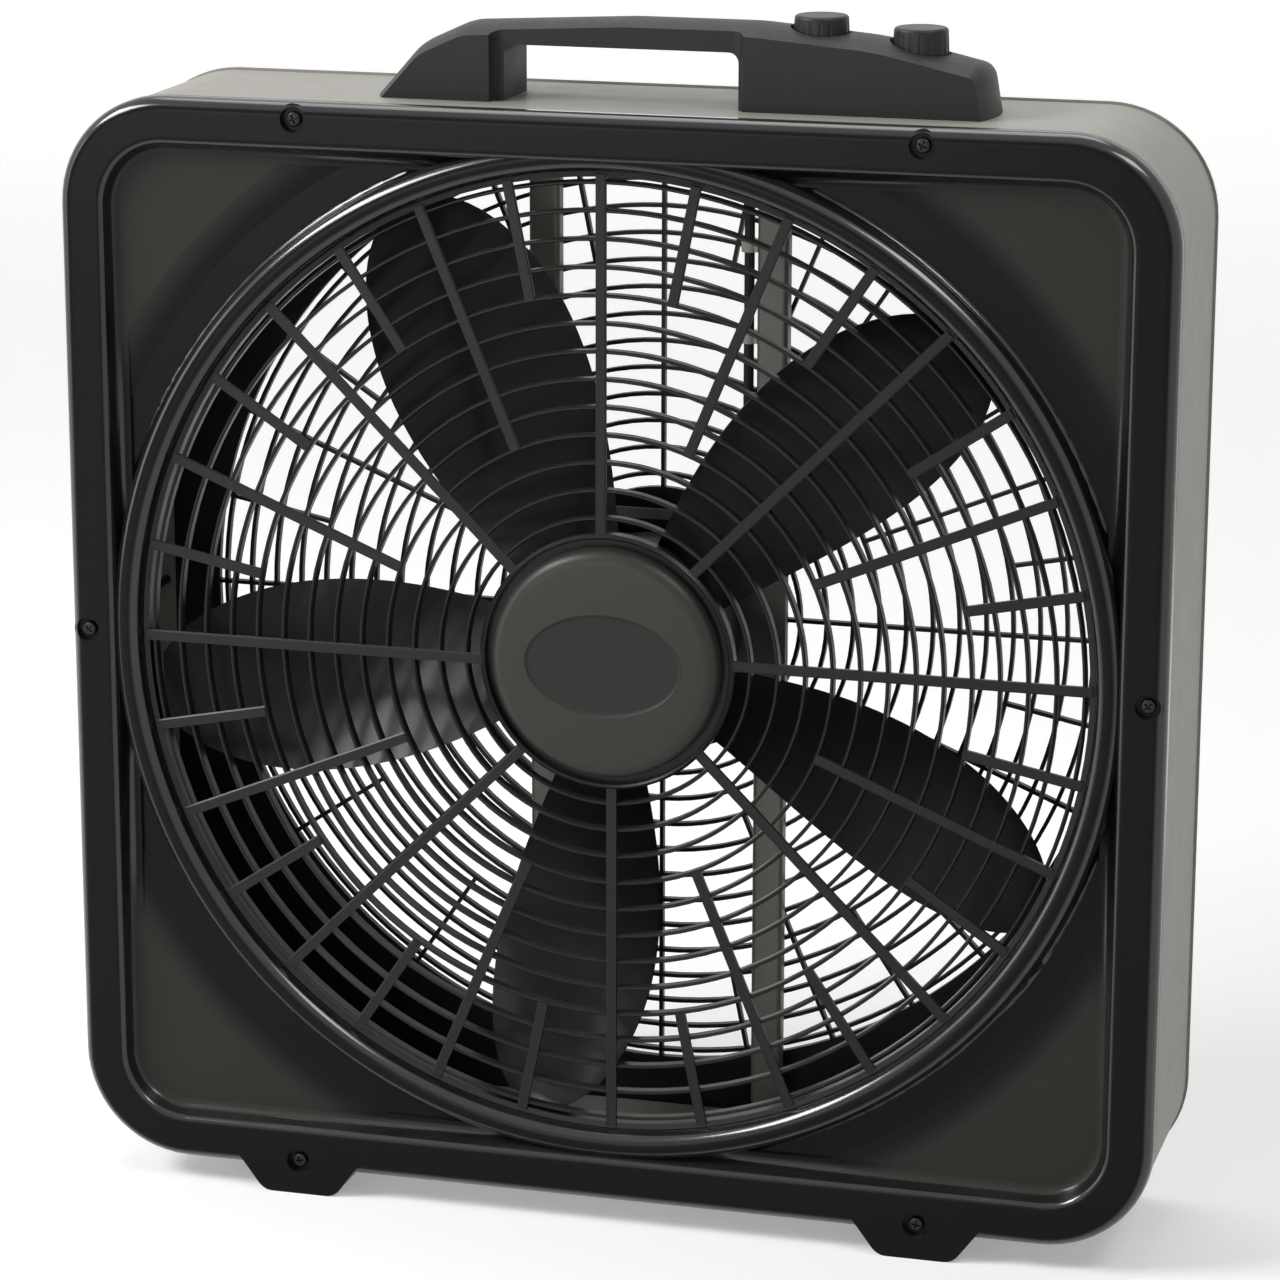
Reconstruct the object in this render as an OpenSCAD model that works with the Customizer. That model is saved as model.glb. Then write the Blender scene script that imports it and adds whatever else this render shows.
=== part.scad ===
// Box fan: square steel housing, moulded front panel with ring grille, five petal blades,
// motor on two struts, moulded carrying handle with speed and thermostat knobs.
// X runs left to right, Y from front to back, Z up. Z = 0 is the surface the feet stand on.

/* [Overall] */
// Width of the front and rear panels
panel_w = 527; // [505:1:640]
// Height of the panels without the feet
panel_h = 521; // [505:1:640]
// Depth from the front face to the rear face
depth = 112; // [108:1:140]
// Outer corner radius of the panels
corner_r = 52; // [48:1:70]
// Height of the feet below the panels
foot_drop = 12; // [8:0.5:20]

/* [Front panel] */
// Wall of every moulding
wall = 2.5; // [2:0.1:3]
// Depth of the front panel's edge, in front of the steel
front_edge = 9; // [8:0.5:12]
// Radius of the front panel's outer edge
front_roll = 6.5; // [5:0.5:8]
// Width of the flat rim
rim_w = 21; // [20:0.5:26]
// How far the corner pans lie behind the rim
pan_drop = 9; // [6:0.5:10]
// Radius of the air opening in the front panel
opening_r = 230; // [200:1:231]
// Width of the rounded lip round the air opening
lip_w = 13; // [12:0.5:16]
// Height of the fan axis above the middle of the panel
axis_rise = 4; // [0:0.5:6]

/* [Front grille] */
// Distance between the grille's rings
ring_pitch = 13; // [11:0.5:14]
// Width of a grille ring and of a grille rib
bar_w = 1.9; // [1.6:0.1:3]
// Depth of a grille ring, front to back
bar_depth = 5; // [4:0.5:6]
// Radius of the collar round the badge
collar_r = 60.5; // [58:0.5:64]
// Radius of the centre badge
badge_r = 55; // [50:0.5:56]

/* [Housing] */
// Thickness of the sheet steel
sheet = 1; // [0.8:0.1:1.5]
// Width of the housing's turned-in flanges
flange_w = 12; // [11:0.5:12.5]
// Depth of the rear grille's edge
rear_edge = 6; // [5:0.5:8]

/* [Handle] */
// Height of the handle above the housing
handle_h = 38.5; // [34:0.5:46]
// Depth of the handle moulding, front to back
handle_d = 46; // [40:1:56]
// Left end of the handle
handle_left = -121; // [-140:1:-110]
// Right end of the control box
handle_right = 171; // [165:1:185]
// Left end of the hand gap
gap_left = -57; // [-60:1:-50]
// Right end of the hand gap
gap_right = 54; // [45:1:56]
// Height of the hand gap
gap_h = 26; // [22:0.5:30]
// Position of the speed knob
speed_x = 88; // [85:1:92]
// Position of the thermostat knob
thermostat_x = 134; // [130:1:138]
// Radius of a knob
knob_r = 13; // [11:0.5:13.5]
// Height of a knob
knob_h = 16; // [13:0.5:20]

/* [Fan and motor] */
// Radius of the blade tips
blade_r = 229; // [190:1:229]
// Radius of the fan hub
hub_r = 44; // [40:1:46]
// Number of blades
blades = 5; // [3:1:6]
// Radius of the motor shaft
shaft_r = 4; // [3:0.25:5]
// Radius of the motor
motor_r = 44; // [40:0.5:46]
// Length of the stator core
core_len = 18; // [14:0.5:20]
// Distance of each motor strut from the fan axis
strut_x = 56; // [52:0.5:60]
// Width of a motor strut
strut_w = 15; // [12:0.5:18]

/* [Hidden] */
$fn = 96;

// Heights of the main levels
panel_z = foot_drop;
panel_top = panel_z + panel_h;
axis_z = panel_z + panel_h / 2 + axis_rise;
// Steel band: how far it lies inside the panel's outline, and its top face
band_in = 1;
band_top = panel_top - band_in;
band_back = depth - rear_edge;
// Clearances
slip = 0.3;
hole_gap = 0.15;
run_gap = 0.04;
// Fan: where the hub and blades lie behind the front face
hub_front = 20;
hub_back = 45;
hub_wall = 2.5;
blade_front = 21.5;
blade_root_r = hub_r - hub_wall + 1;
blade_phase = 44;
root_chord = 42;
full_chord = 94;
root_pitch = 33;
tip_pitch = 17;
camber = 0.055;
shaft_front = 16.5;
// Motor: struts rest on the rear flange, the plate on the struts, the motor on the plate
strut_d = 8;
bend_clear = 1.3;
strut_back = band_back - sheet;
strut_front = strut_back - strut_d;
plate_t = 1.6;
plate_front = strut_front - plate_t;
bell_t = 1.5;
rear_bell_len = 17;
front_bell_len = 12;
core_back = plate_front - rear_bell_len;
core_front = core_back - core_len;
bell_front = core_front - front_bell_len;
bolt_r = 2;
bolt_ring = motor_r - 4.5;
// Screws
screw_r = 1.95;
head_r = 3.6;
head_h = 2.2;
foot_x = 153;
top_screw_x = 147;
side_inset = 8.7;
top_inset = 8;
bottom_inset = 4.7;
recess_r = 6;
recess_depth = 3.5;
rear_recess = 2.5;
// Foot: half width of its flat, its fillets, its length along the steel and behind the rim
foot_flat = 18;
foot_fillet = 9;
foot_d = 16;
foot_up = 8;
foot_reach = 60;
// Lip of the air opening
lip_r = lip_w / 2 - 0.25;
lip_top = 1.5;
moat_depth = pan_drop + 2;
moat_w = 32;
seat_depth = 14;
grille_depth = 9;
grille_clear = slip;
// Knob seats above the steel
speed_seat = 26;
thermostat_seat = 22;
seat_t = 3;
waist = 36;
nut_h = 2;
bushing_up = 4;
spindle_top = 13;
flutes = 18;
capacitor_x = 111.5;
front_bush_r = 8;
rear_bush_r = 8;
core_bore = 22.4;
slots = 12;
slot_r = 30;
bushing_r = 4.7;
spindle_r = 3;

// ---------- 2D and sweep tools ----------

function unit(v) = v / norm(v);
function left_of(v) = [-v[1], v[0]];
function cross2(a, b) = a[0] * b[1] - a[1] * b[0];
function at(list, i) = list[(i + len(list)) % len(list)];
function heading(v) = atan2(v[1], v[0]);
function reverse(list) = [for (i = [len(list) - 1 : -1 : 0]) list[i]];

// One corner of an outline: [tangent in, tangent out, centre, turn angle, heading in, corner]
function corner(pts, i, r) =
  let (
    p = at(pts, i),
    d1 = unit(p - at(pts, i - 1)),
    d2 = unit(at(pts, i + 1) - p),
    turn = atan2(cross2(d1, d2), d1 * d2),
    t = r * tan(abs(turn) / 2)
  ) [p - d1 * t, p + d2 * t, p - d1 * t + left_of(d1) * r * sign(turn), turn, heading(d1), p];

// The corner points of an outline moved inwards (to the left) by d
function inset(pts, d) = [
  for (i = [0 : len(pts) - 1])
    let (
      n1 = left_of(unit(at(pts, i) - at(pts, i - 1))),
      n2 = left_of(unit(at(pts, i + 1) - at(pts, i)))
    ) at(pts, i) + d * (n1 + n2) / (1 + n1 * n2)
];

// An open line of points moved to its left by d
function parallel(pts, d) =
  let (last = len(pts) - 1) [
    for (i = [0 : last])
      let (
        n1 = left_of(unit(pts[max(i, 1)] - pts[max(i, 1) - 1])),
        n2 = left_of(unit(pts[min(i, last - 1) + 1] - pts[min(i, last - 1)]))
      ) pts[i] + d * (n1 + n2) / (1 + n1 * n2)
  ];

// Radii of the fillets of a line moved to its left by d
function parallel_radii(pts, radii, d) = [
  for (i = [0 : len(pts) - 1])
    radii[i] == 0 ? 0 : max(0, radii[i] - sign(corner(pts, i, 0)[3]) * d)
];

// The bit between a corner and its fillet, carried a little past the corner so that it overlaps
module corner_bit(c, r) {
  bit = [c[2], c[0], c[5] + 0.4 * unit(c[5] - c[2]), c[1]];
  difference() {
    polygon(c[3] > 0 ? bit : reverse(bit));
    translate(c[2]) circle(r);
  }
}

// A filled outline with true arcs at its corners; d moves it inwards
module filled(pts, radii, d = 0) {
  shape = inset(pts, d);
  last = len(pts) - 1;
  r = parallel_radii(pts, radii, d);
  turns = [for (i = [0 : last]) corner(shape, i, r[i])];
  difference() {
    polygon(shape);
    for (i = [0 : last]) if (r[i] > 0 && turns[i][3] > 0) corner_bit(turns[i], r[i]);
  }
  for (i = [0 : last]) if (r[i] > 0 && turns[i][3] < 0) corner_bit(turns[i], r[i]);
}

// The section of a wall of thickness t on the left of an open line
module wall_section(pts, radii, t) {
  filled(
    concat(pts, reverse(parallel(pts, t))),
    concat(radii, reverse(parallel_radii(pts, radii, t)))
  );
}

// A straight run of a 2D profile from one point to another: profile x runs to the left of the
// line, profile y becomes Z
module straight(from, to) {
  translate(from) rotate(heading(to - from)) rotate([90, 0, 90])
    linear_extrude(norm(to - from)) children();
}

// Sweeps a 2D profile round the panels' square outline, moved inwards by d
module swept(d = 0) {
  pts = inset(SQUARE, d);
  for (i = [0 : 3]) {
    c = corner(pts, i, corner_r - d);
    straight(c[1], corner(pts, i + 1, corner_r - d)[0]) children();
    translate(c[2]) rotate(c[4] - 90) rotate_extrude(angle = 90)
      translate([corner_r - d, 0]) mirror([1, 0]) children();
  }
}

// Points along an open line with filleted corners, each with the heading there
function along(pts, radii, steps) = [
  for (i = [0 : len(pts) - 1])
    if (radii[i] == 0) [pts[i], heading(i == 0 ? pts[1] - pts[0] : pts[i] - pts[i - 1])]
    else let (c = corner(pts, i, radii[i])) each [
      for (k = [0 : steps])
        let (h = c[4] + c[3] * k / steps, side = sign(c[3]) * radii[i])
          [c[2] + side * [sin(h), -cos(h)], h]
    ]
];

// A solid through a row of rings, each a list of the same number of points
module loft(rings) {
  n = len(rings[0]);
  last = len(rings) - 1;
  sides = [
    for (i = [0 : last - 1], j = [0 : n - 1])
      let (a = i * n + j, b = i * n + (j + 1) % n) each [[a, b, b + n], [a, b + n, a + n]]
  ];
  caps = [[for (j = [n - 1 : -1 : 0]) j], [for (j = [0 : n - 1]) last * n + j]];
  polyhedron([for (ring = rings) each ring], concat(sides, caps));
}

// Front view: local X and Y are the world's X and Z, local Z runs back from depth d
module facing(d = 0) {
  translate([0, d - depth / 2, 0]) rotate([90, 0, 0]) mirror([0, 0, 1]) children();
}

// Turned round the fan axis: profile x is the radius, profile y the depth behind the front
module turned() {
  translate([0, -depth / 2, axis_z]) rotate([-90, 0, 0]) rotate_extrude() children();
}

// A round bar or hole along the fan's direction, from depth a to depth b
module bar(x, z, a, b, r) {
  translate([x, a - depth / 2, z]) rotate([-90, 0, 0]) cylinder(h = b - a, r = r);
}

// ---------- shared outlines ----------

SQUARE = [
  [-panel_w / 2, panel_z], [panel_w / 2, panel_z], [panel_w / 2, panel_top],
  [-panel_w / 2, panel_top],
];
SQUARE_R = [for (i = [1 : 4]) corner_r];
SCREWS = [
  [-top_screw_x, panel_top - top_inset], [top_screw_x, panel_top - top_inset],
  [-panel_w / 2 + side_inset, axis_z], [panel_w / 2 - side_inset, axis_z],
  [-foot_x, panel_z + bottom_inset], [foot_x, panel_z + bottom_inset],
];

// Front view of a foot: its slopes rise 4 for every 3 across
function foot_outline(x) =
  let (top = foot_drop + foot_up) [
    [x - foot_flat, 0], [x + foot_flat, 0], [x + foot_flat + 0.75 * top, top],
    [x - foot_flat - 0.75 * top, top],
  ];

// Solid foot of length len whose edge at the face is rounded with radius r; d makes it smaller
module foot_block(x, r, len, d = 0) {
  pts = inset(foot_outline(x), d);
  translate([0, 0, d]) intersection() {
    linear_extrude(len) filled(foot_outline(x), [foot_fillet, foot_fillet, 0, 0], d);
    for (i = [3, 0, 1]) straight(
      pts[i] - foot_reach * unit(at(pts, i + 1) - pts[i]),
      at(pts, i + 1) + foot_reach * unit(at(pts, i + 1) - pts[i])
    ) filled([[0, 0], [foot_reach, 0], [foot_reach, len], [0, len]], [r - d, 0, 0, 0]);
  }
}

// The two hollow feet of a panel, kept clear of the steel behind the panel's edge
module feet(r, edge) {
  for (x = [-foot_x, foot_x]) difference() {
    foot_block(x, r, edge + foot_d);
    foot_block(x, r, edge + foot_d, wall);
    translate([x - foot_reach, panel_z + band_in - slip, edge])
      cube([2 * foot_reach, 2 * foot_drop, 2 * foot_d]);
  }
}

// A screw along Y: its head's underside at depth d, dir = 1 when the shank runs backwards
module screw(x, z, d, length, dir = 1, r = screw_r) {
  translate([x, d - depth / 2, z]) rotate([-90 * dir, 0, 0]) {
    cylinder(h = length, r = r);
    translate([0, 0, -head_h]) cylinder(h = head_h, r = head_r);
  }
}

// ---------- front ----------

// Rounded edge, flat rim and the step down to the corner pans
module rim_section() {
  wall_section(
    [[0, front_edge], [0, 0], [rim_w, 0], [rim_w + 4, pan_drop], [rim_w + 9, pan_drop]],
    [0, front_roll, 4, 5.5, 0], wall
  );
}

// Half-round lip of the air opening, the moat outside it and the slope up to the pans
module lip_section() {
  out = opening_r + lip_w;
  wall_section(
    [
      [opening_r, seat_depth], [opening_r, lip_top], [out, lip_top], [out, moat_depth],
      [out + moat_w / 2, moat_depth], [out + moat_w, pan_drop], [out + moat_w + 4, pan_drop],
    ],
    [0, lip_r, lip_r, 3, 0, 0, 0], wall
  );
}

module front_panel() {
  color([0.1, 0.1, 0.1]) difference() {
    union() {
      difference() {
        facing() swept() rim_section();
        bar(0, axis_z, -1, seat_depth, opening_r + wall / 2);
      }
      facing() feet(front_roll, front_edge);
      facing(pan_drop) linear_extrude(wall) difference() {
        filled(SQUARE, SQUARE_R, rim_w + 8);
        translate([0, axis_z]) circle(opening_r + lip_w + moat_w + 3);
      }
      intersection() {
        turned() lip_section();
        facing() linear_extrude(seat_depth)
          filled(SQUARE, SQUARE_R, flange_w + band_in + slip);
      }
      for (p = SCREWS) bar(p[0], p[1], wall - 0.5, front_edge, recess_r + 1.4);
    }
    for (p = SCREWS) {
      bar(p[0], p[1], -1, recess_depth, recess_r);
      bar(p[0], p[1], 0, front_edge + 1, screw_r + hole_gap);
    }
  }
}

module front_screws() {
  color([0.12, 0.12, 0.13])
    for (p = SCREWS) screw(p[0], p[1], recess_depth, 16);
}

// Section of a grille bar: tapered to the front for draft, with broken front edges
module bar_section(w, d) {
  polygon([
    [-w / 2 + 0.6, 0], [w / 2 - 0.6, 0], [w / 2 - 0.1, 0.7], [w / 2, d], [-w / 2, d],
    [-w / 2 + 0.1, 0.7],
  ]);
}

module grille_rib(r1, r2, angle, d) {
  translate([0, -depth / 2 + grille_depth + 0.4, axis_z]) rotate([0, -angle, 0])
    translate([r1, 0, 0]) rotate([90, 0, 90]) linear_extrude(r2 - r1) bar_section(bar_w, d);
}

RING_COUNT = floor((opening_r - 5 - collar_r - 8) / ring_pitch);
function ring_r(k) = collar_r + 8 + k * ring_pitch;

module front_grille() {
  rim_r = opening_r - grille_clear;
  color([0.11, 0.11, 0.11]) {
    turned() {
      for (k = [0 : RING_COUNT])
        translate([ring_r(k), grille_depth]) bar_section(bar_w, bar_depth);
      // Rim that fits the panel's opening, with the flange behind it
      polygon([
        [rim_r - 2.6, grille_depth + 0.5], [rim_r, grille_depth], [rim_r, seat_depth],
        [rim_r + 4, seat_depth], [rim_r + 4, seat_depth + 2], [rim_r - 2.6, seat_depth + 2],
      ]);
      // Collar, and the plate that carries the badge
      polygon([
        [collar_r - 1.6, grille_depth - 1], [collar_r - 0.6, grille_depth - 1.6],
        [collar_r + 0.8, grille_depth], [collar_r + 0.8, seat_depth + 0.5],
        [0, seat_depth + 0.5], [0, seat_depth - 2], [collar_r - 1.6, seat_depth - 2],
      ]);
    }
    for (i = [0 : 31]) {
      start = i % 4 == 0 ? collar_r : i % 2 == 0 ? ring_r(3) : ring_r(8);
      grille_rib(start, rim_r - 1.3, i * 360 / 32, bar_depth);
    }
  }
}

badge_front = 1.5;
dome_r = 1200;
oval_r = 82;
oval_h = 25;

module centre_badge() {
  back = seat_depth - 2;
  color([0.24, 0.24, 0.22]) difference() {
    turned() difference() {
      intersection() {
        filled(
          [
            [0, badge_front], [badge_r - 7, badge_front], [badge_r, badge_front + 7],
            [badge_r, back], [0, back],
          ],
          [0, 10, 3, 0, 0]
        );
        translate([0, badge_front + dome_r]) circle(dome_r, $fn = 256);
      }
      translate([0, badge_front + wall + 1]) square([badge_r - 12, back]);
    }
    // Shallow oval with a flat floor, which runs out at the sides of the dome
    translate([0, -depth / 2 + badge_front - 1, axis_z]) rotate([-90, 0, 0])
      linear_extrude(2.3) intersection() {
        translate([0, oval_r - oval_h]) circle(oval_r, $fn = 256);
        translate([0, oval_h - oval_r]) circle(oval_r, $fn = 256);
      }
  }
}

// ---------- housing ----------

module housing_band() {
  color([0.62, 0.61, 0.57]) difference() {
    facing() swept(band_in)
      wall_section(
        [
          [flange_w, band_back], [0, band_back], [0, front_edge], [flange_w, front_edge],
        ],
        [0, 2, 2, 0], sheet
      );
    for (p = SCREWS) bar(p[0], p[1], 0, depth, screw_r + 0.05);
    // Window under the control box, and the holes of the handle screws
    translate([speed_x - 18, -16, band_top - 5])
      cube([thermostat_x - speed_x + 36, 32, 10]);
    for (x = HANDLE_SCREWS) translate([x, 0, band_top - 5]) cylinder(h = 10, r = screw_r + 0.05);
    for (p = STRUT_ENDS) bar(p[0], p[1], strut_front, depth, screw_r + 0.05);
  }
}

module rear_grille() {
  d = 3.5;
  color([0.1, 0.1, 0.1]) {
    difference() {
      union() {
        // Rim, its rounded edge, the feet and the corner plates, built from the rear face
        facing(depth) mirror([0, 0, 1]) {
          swept() wall_section(
            [[0, rear_edge], [0, 0], [rim_w, 0]], [0, rear_edge - 1, 0], wall
          );
          feet(rear_edge - 1, rear_edge);
          linear_extrude(wall) difference() {
            filled(SQUARE, SQUARE_R, rim_w - 1);
            translate([0, axis_z]) circle(opening_r - 1);
          }
        }
        for (p = SCREWS) bar(p[0], p[1], band_back, depth - 1, recess_r + 1.2);
      }
      for (p = SCREWS) {
        bar(p[0], p[1], depth - rear_recess, depth + 1, recess_r - 0.5);
        bar(p[0], p[1], band_back - 1, depth + 1, screw_r + hole_gap);
      }
    }
    facing(depth - d) linear_extrude(d) translate([0, axis_z]) rear_grid();
  }
}

// Rings and ribs of the rear grille, as one flat pattern
module rear_grid() {
  for (k = [0 : RING_COUNT])
    difference() {
      circle(ring_r(k) + bar_w / 2);
      circle(ring_r(k) - bar_w / 2);
    }
  difference() {
    circle(opening_r + 1);
    circle(opening_r - 2);
  }
  circle(ring_r(0) - ring_pitch / 2);
  for (i = [0 : 31]) {
    start = i % 4 == 0 ? 20 : i % 2 == 0 ? ring_r(3) : ring_r(8);
    rotate(i * 360 / 32) translate([start, -bar_w / 2]) square([opening_r - start, bar_w]);
  }
}

module rear_screws() {
  color([0.12, 0.12, 0.13])
    for (p = SCREWS) screw(p[0], p[1], depth - rear_recess, 14, -1);
}

// ---------- handle and controls ----------

// Handle outline above the steel; its two lowest points lie below the base, which cuts them off
skirt = 20;
HANDLE = [
  [handle_left - skirt * 0.875, -skirt], [handle_right + skirt * 0.18, -skirt],
  [handle_right - 4, 22.5], [118, handle_h - 5], [60, handle_h], [0, handle_h],
  [-77, handle_h - 4], [-100, 24],
];
HANDLE_R = [0, 0, 9, 150, 120, 200, 22, 26];
HANDLE_TOP = [for (i = [1 : 8]) at(HANDLE, i)];
HANDLE_TOP_R = [for (i = [1 : 8]) at(HANDLE_R, i)];
HANDLE_SCREWS = [-99, -70, 63.5, 160];
crown = 4.5;
inlet_x = 150;
inlet_z = 11;
inlet_r = 6;

crown_steps = 8;

// The handle's outside: rings across the outline, crowned on top, down to a level below the base
module handle_body() {
  half = handle_d / 2;
  intersection() {
    loft([
      for (p = along(HANDLE_TOP, HANDLE_TOP_R, 5))
        let (
          out = [sin(p[1]), -cos(p[1])],
          edge = p[0] - crown * out
        ) concat(
          [[edge[0], -half, -2 * skirt], [edge[0], half, -2 * skirt]],
          [
            for (j = [0 : crown_steps])
              let (y = 1 - 2 * j / crown_steps, q = p[0] - crown * y * y * out)
                [q[0], half * y, q[1]]
          ]
        )
    ]);
    translate([-400, -100, 0]) cube([800, 200, 100]);
  }
}

module handle_side(d = 0) {
  filled(HANDLE, HANDLE_R, d);
}

module handle_front(y) {
  translate([0, y, band_top]) rotate([90, 0, 0]) mirror([0, 0, 1]) children();
}

module knob_seat(x, seat, cut) {
  translate([x, 0, band_top + seat - (cut ? 0 : seat_t)])
    cylinder(h = cut ? 40 : seat_t + 4, r = knob_r + (cut ? 1.2 : 4));
}

module handle() {
  inside = handle_d / 2 - wall;
  color([0.25, 0.25, 0.26]) difference() {
    union() {
      difference() {
        translate([0, 0, band_top]) handle_body();
        // Hollow ends, open below
        handle_front(-inside) linear_extrude(2 * inside) difference() {
          handle_side(crown + 2);
          translate([gap_left - wall, -skirt])
            square([gap_right - gap_left + 2 * wall, 100]);
        }
        handle_front(-100) linear_extrude(200) filled(
          [[gap_left, -10], [gap_right, -10], [gap_right, gap_h], [gap_left, gap_h]],
          [0, 0, 5, 5]
        );
        // Waist that makes the grip slimmer than the ends
        for (side = [0, 1]) mirror([0, side, 0])
          translate([0, 0, band_top]) linear_extrude(100) filled(
            [
              [gap_left - 6, -100], [gap_right + 3, -100], [gap_right + 3, -waist / 2],
              [gap_left - 6, -waist / 2],
            ],
            [0, 0, 6, 6]
          );
      }
      intersection() {
        handle_front(-inside - 1) linear_extrude(2 * inside + 2) handle_side(crown + 1);
        union() {
          knob_seat(speed_x, speed_seat, false);
          knob_seat(thermostat_x, thermostat_seat, false);
          for (x = HANDLE_SCREWS) translate([x, 0, band_top]) cylinder(h = handle_h, r = 4.5);
        }
      }
    }
    knob_seat(speed_x, speed_seat, true);
    knob_seat(thermostat_x, thermostat_seat, true);
    for (x = [speed_x, thermostat_x])
      translate([x, 0, band_top + 10]) cylinder(h = 60, r = bushing_r + hole_gap);
    for (x = HANDLE_SCREWS)
      translate([x, 0, band_top - 1]) cylinder(h = 11, r = screw_r + 0.05);
    translate([inlet_x, 0, band_top + inlet_z]) rotate([-90, 0, 0])
      cylinder(h = 40, r = inlet_r + 0.05);
  }
}

module handle_screws() {
  color([0.55, 0.55, 0.56]) for (x = HANDLE_SCREWS)
    translate([x, 0, band_top - sheet]) {
      cylinder(h = 10, r = screw_r);
      translate([0, 0, -head_h]) cylinder(h = head_h, r = head_r);
    }
}

module cord_inlet() {
  face = handle_d / 2;
  color([0.1, 0.1, 0.1]) translate([inlet_x, 0, band_top + inlet_z]) rotate([-90, 0, 0])
    rotate_extrude() polygon([
      [3.6, face - wall - 2], [inlet_r, face - wall - 2], [inlet_r, face], [7.6, face],
      [7, face + 1.6], [4.4, face + 1.6], [3.6, face + 0.8],
    ]);
}

// Fluted knob with a hollow underside; its pointer line is left to the finish
module knob(x, seat) {
  z = band_top + seat + 0.4;
  color([0.16, 0.16, 0.17]) translate([x, 0, z]) difference() {
    union() {
      rotate_extrude() difference() {
        filled(
          [[0, 0], [knob_r, 0], [knob_r - 0.7, knob_h], [0, knob_h]], [0, 0.8, 1.6, 0]
        );
        translate([0, -1]) square([knob_r - 2.5, nut_h + bushing_up + 1.6]);
      }
      rotate_extrude() translate([spindle_r, bushing_up + 0.6])
        square([3, knob_h - bushing_up - 3]);
    }
    for (i = [0 : flutes - 1]) rotate(i * 360 / flutes)
      translate([knob_r + 0.7, 0, 1.5]) cylinder(h = knob_h - 4, r = 1.5);
    cylinder(h = spindle_top, r = spindle_r);
  }
}

module speed_knob() knob(speed_x, speed_seat);
module thermostat_knob() knob(thermostat_x, thermostat_seat);

// A spindle in its bushing, with the collar that keeps it in
module spindle(x, seat) {
  color([0.8, 0.8, 0.78]) translate([x, 0, band_top + seat + 0.4]) {
    translate([0, 0, -seat_t - 6]) cylinder(h = spindle_top + seat_t + 6, r = spindle_r);
    translate([0, 0, -seat_t - 6]) cylinder(h = 3, r = spindle_r + 2);
  }
}

module speed_shaft() spindle(speed_x, speed_seat);
module thermostat_shaft() spindle(thermostat_x, thermostat_seat);

// A switch body hanging under its seat: case, threaded bushing and a hollow for the spindle
module control(x, seat, w, d, h, terminals) {
  top = band_top + seat - seat_t;
  difference() {
    union() {
      color([0.82, 0.80, 0.72]) translate([x - w / 2, -d / 2, top - h]) cube([w, d, h - 1]);
      color([0.7, 0.7, 0.68]) {
        translate([x - w / 2 + 1, -d / 2 + 1, top - 1]) cube([w - 2, d - 2, 1]);
        translate([x, 0, top]) cylinder(h = seat_t + bushing_up, r = bushing_r);
      }
      color([0.8, 0.7, 0.4]) for (i = [0 : terminals - 1])
        translate([x - w / 2 + (i + 0.5) * w / terminals - 2.4, -0.4, top - h - 6])
          cube([4.8, 0.8, 7]);
    }
    translate([x, 0, top - 6.2]) cylinder(h = 40, r = spindle_r + run_gap);
    translate([x, 0, top - 6.2]) cylinder(h = 4, r = spindle_r + 2.2);
  }
}

module speed_switch() control(speed_x, speed_seat, 30, 26, 20, 5);
module thermostat() control(thermostat_x, thermostat_seat, 26, 24, 15, 2);

module switch_nuts() {
  color([0.75, 0.75, 0.74]) for (k = [[speed_x, speed_seat], [thermostat_x, thermostat_seat]])
    translate([k[0], 0, band_top + k[1]]) difference() {
      cylinder(h = nut_h, r = 7.5, $fn = 6);
      translate([0, 0, -1]) cylinder(h = nut_h + 2, r = bushing_r + 0.05);
    }
}

module capacitor() {
  color([0.2, 0.2, 0.22]) translate([capacitor_x, 1 - handle_d / 2 + wall, band_top])
    difference() {
      translate([-7, -1, 0]) cube([14, 34, 17]);
      // Potting recess round the two leads
      translate([-5.5, 0.5, 16]) cube([11, 31, 2]);
    }
}

// ---------- motor mounting ----------

// Pressed steel channel with a flat foot at each end, screwed to the rear flange
module strut(x) {
  z0 = panel_z + band_in + sheet + bend_clear;
  z1 = band_top - sheet - bend_clear;
  t = 1.2;
  foot_len = 18;
  color([0.60, 0.59, 0.55]) translate([x, -depth / 2, 0]) difference() {
    union() {
      translate([0, 0, z0 + foot_len]) linear_extrude(z1 - z0 - 2 * foot_len)
        wall_section(
          [
            [-strut_w / 2, strut_back], [-strut_w / 2, strut_front],
            [strut_w / 2, strut_front], [strut_w / 2, strut_back],
          ],
          [0, 2.5, 2.5, 0], t
        );
      for (z = [z0, z1 - foot_len - 4])
        translate([-strut_w / 2, strut_back - t, z]) cube([strut_w, t, foot_len + 4]);
    }
    for (p = STRUT_ENDS) translate([0, 0, p[1]]) rotate([-90, 0, 0])
      cylinder(h = 200, r = screw_r + 0.05);
    for (s = [-1, 1]) translate([0, 0, axis_z + s * plate_screw_z]) rotate([-90, 0, 0])
      cylinder(h = 200, r = screw_r + 0.05);
  }
}

STRUT_ENDS = [
  for (s = [-1, 1], z = [panel_z + 9.5, panel_top - 9.5]) [s * strut_x, z],
];
plate_screw_z = 44;

module left_strut() strut(-strut_x);
module right_strut() strut(strut_x);

module strut_screws() {
  color([0.55, 0.55, 0.56])
    for (p = STRUT_ENDS) screw(p[0], p[1], strut_back - 1.2, 5);
}

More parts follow.
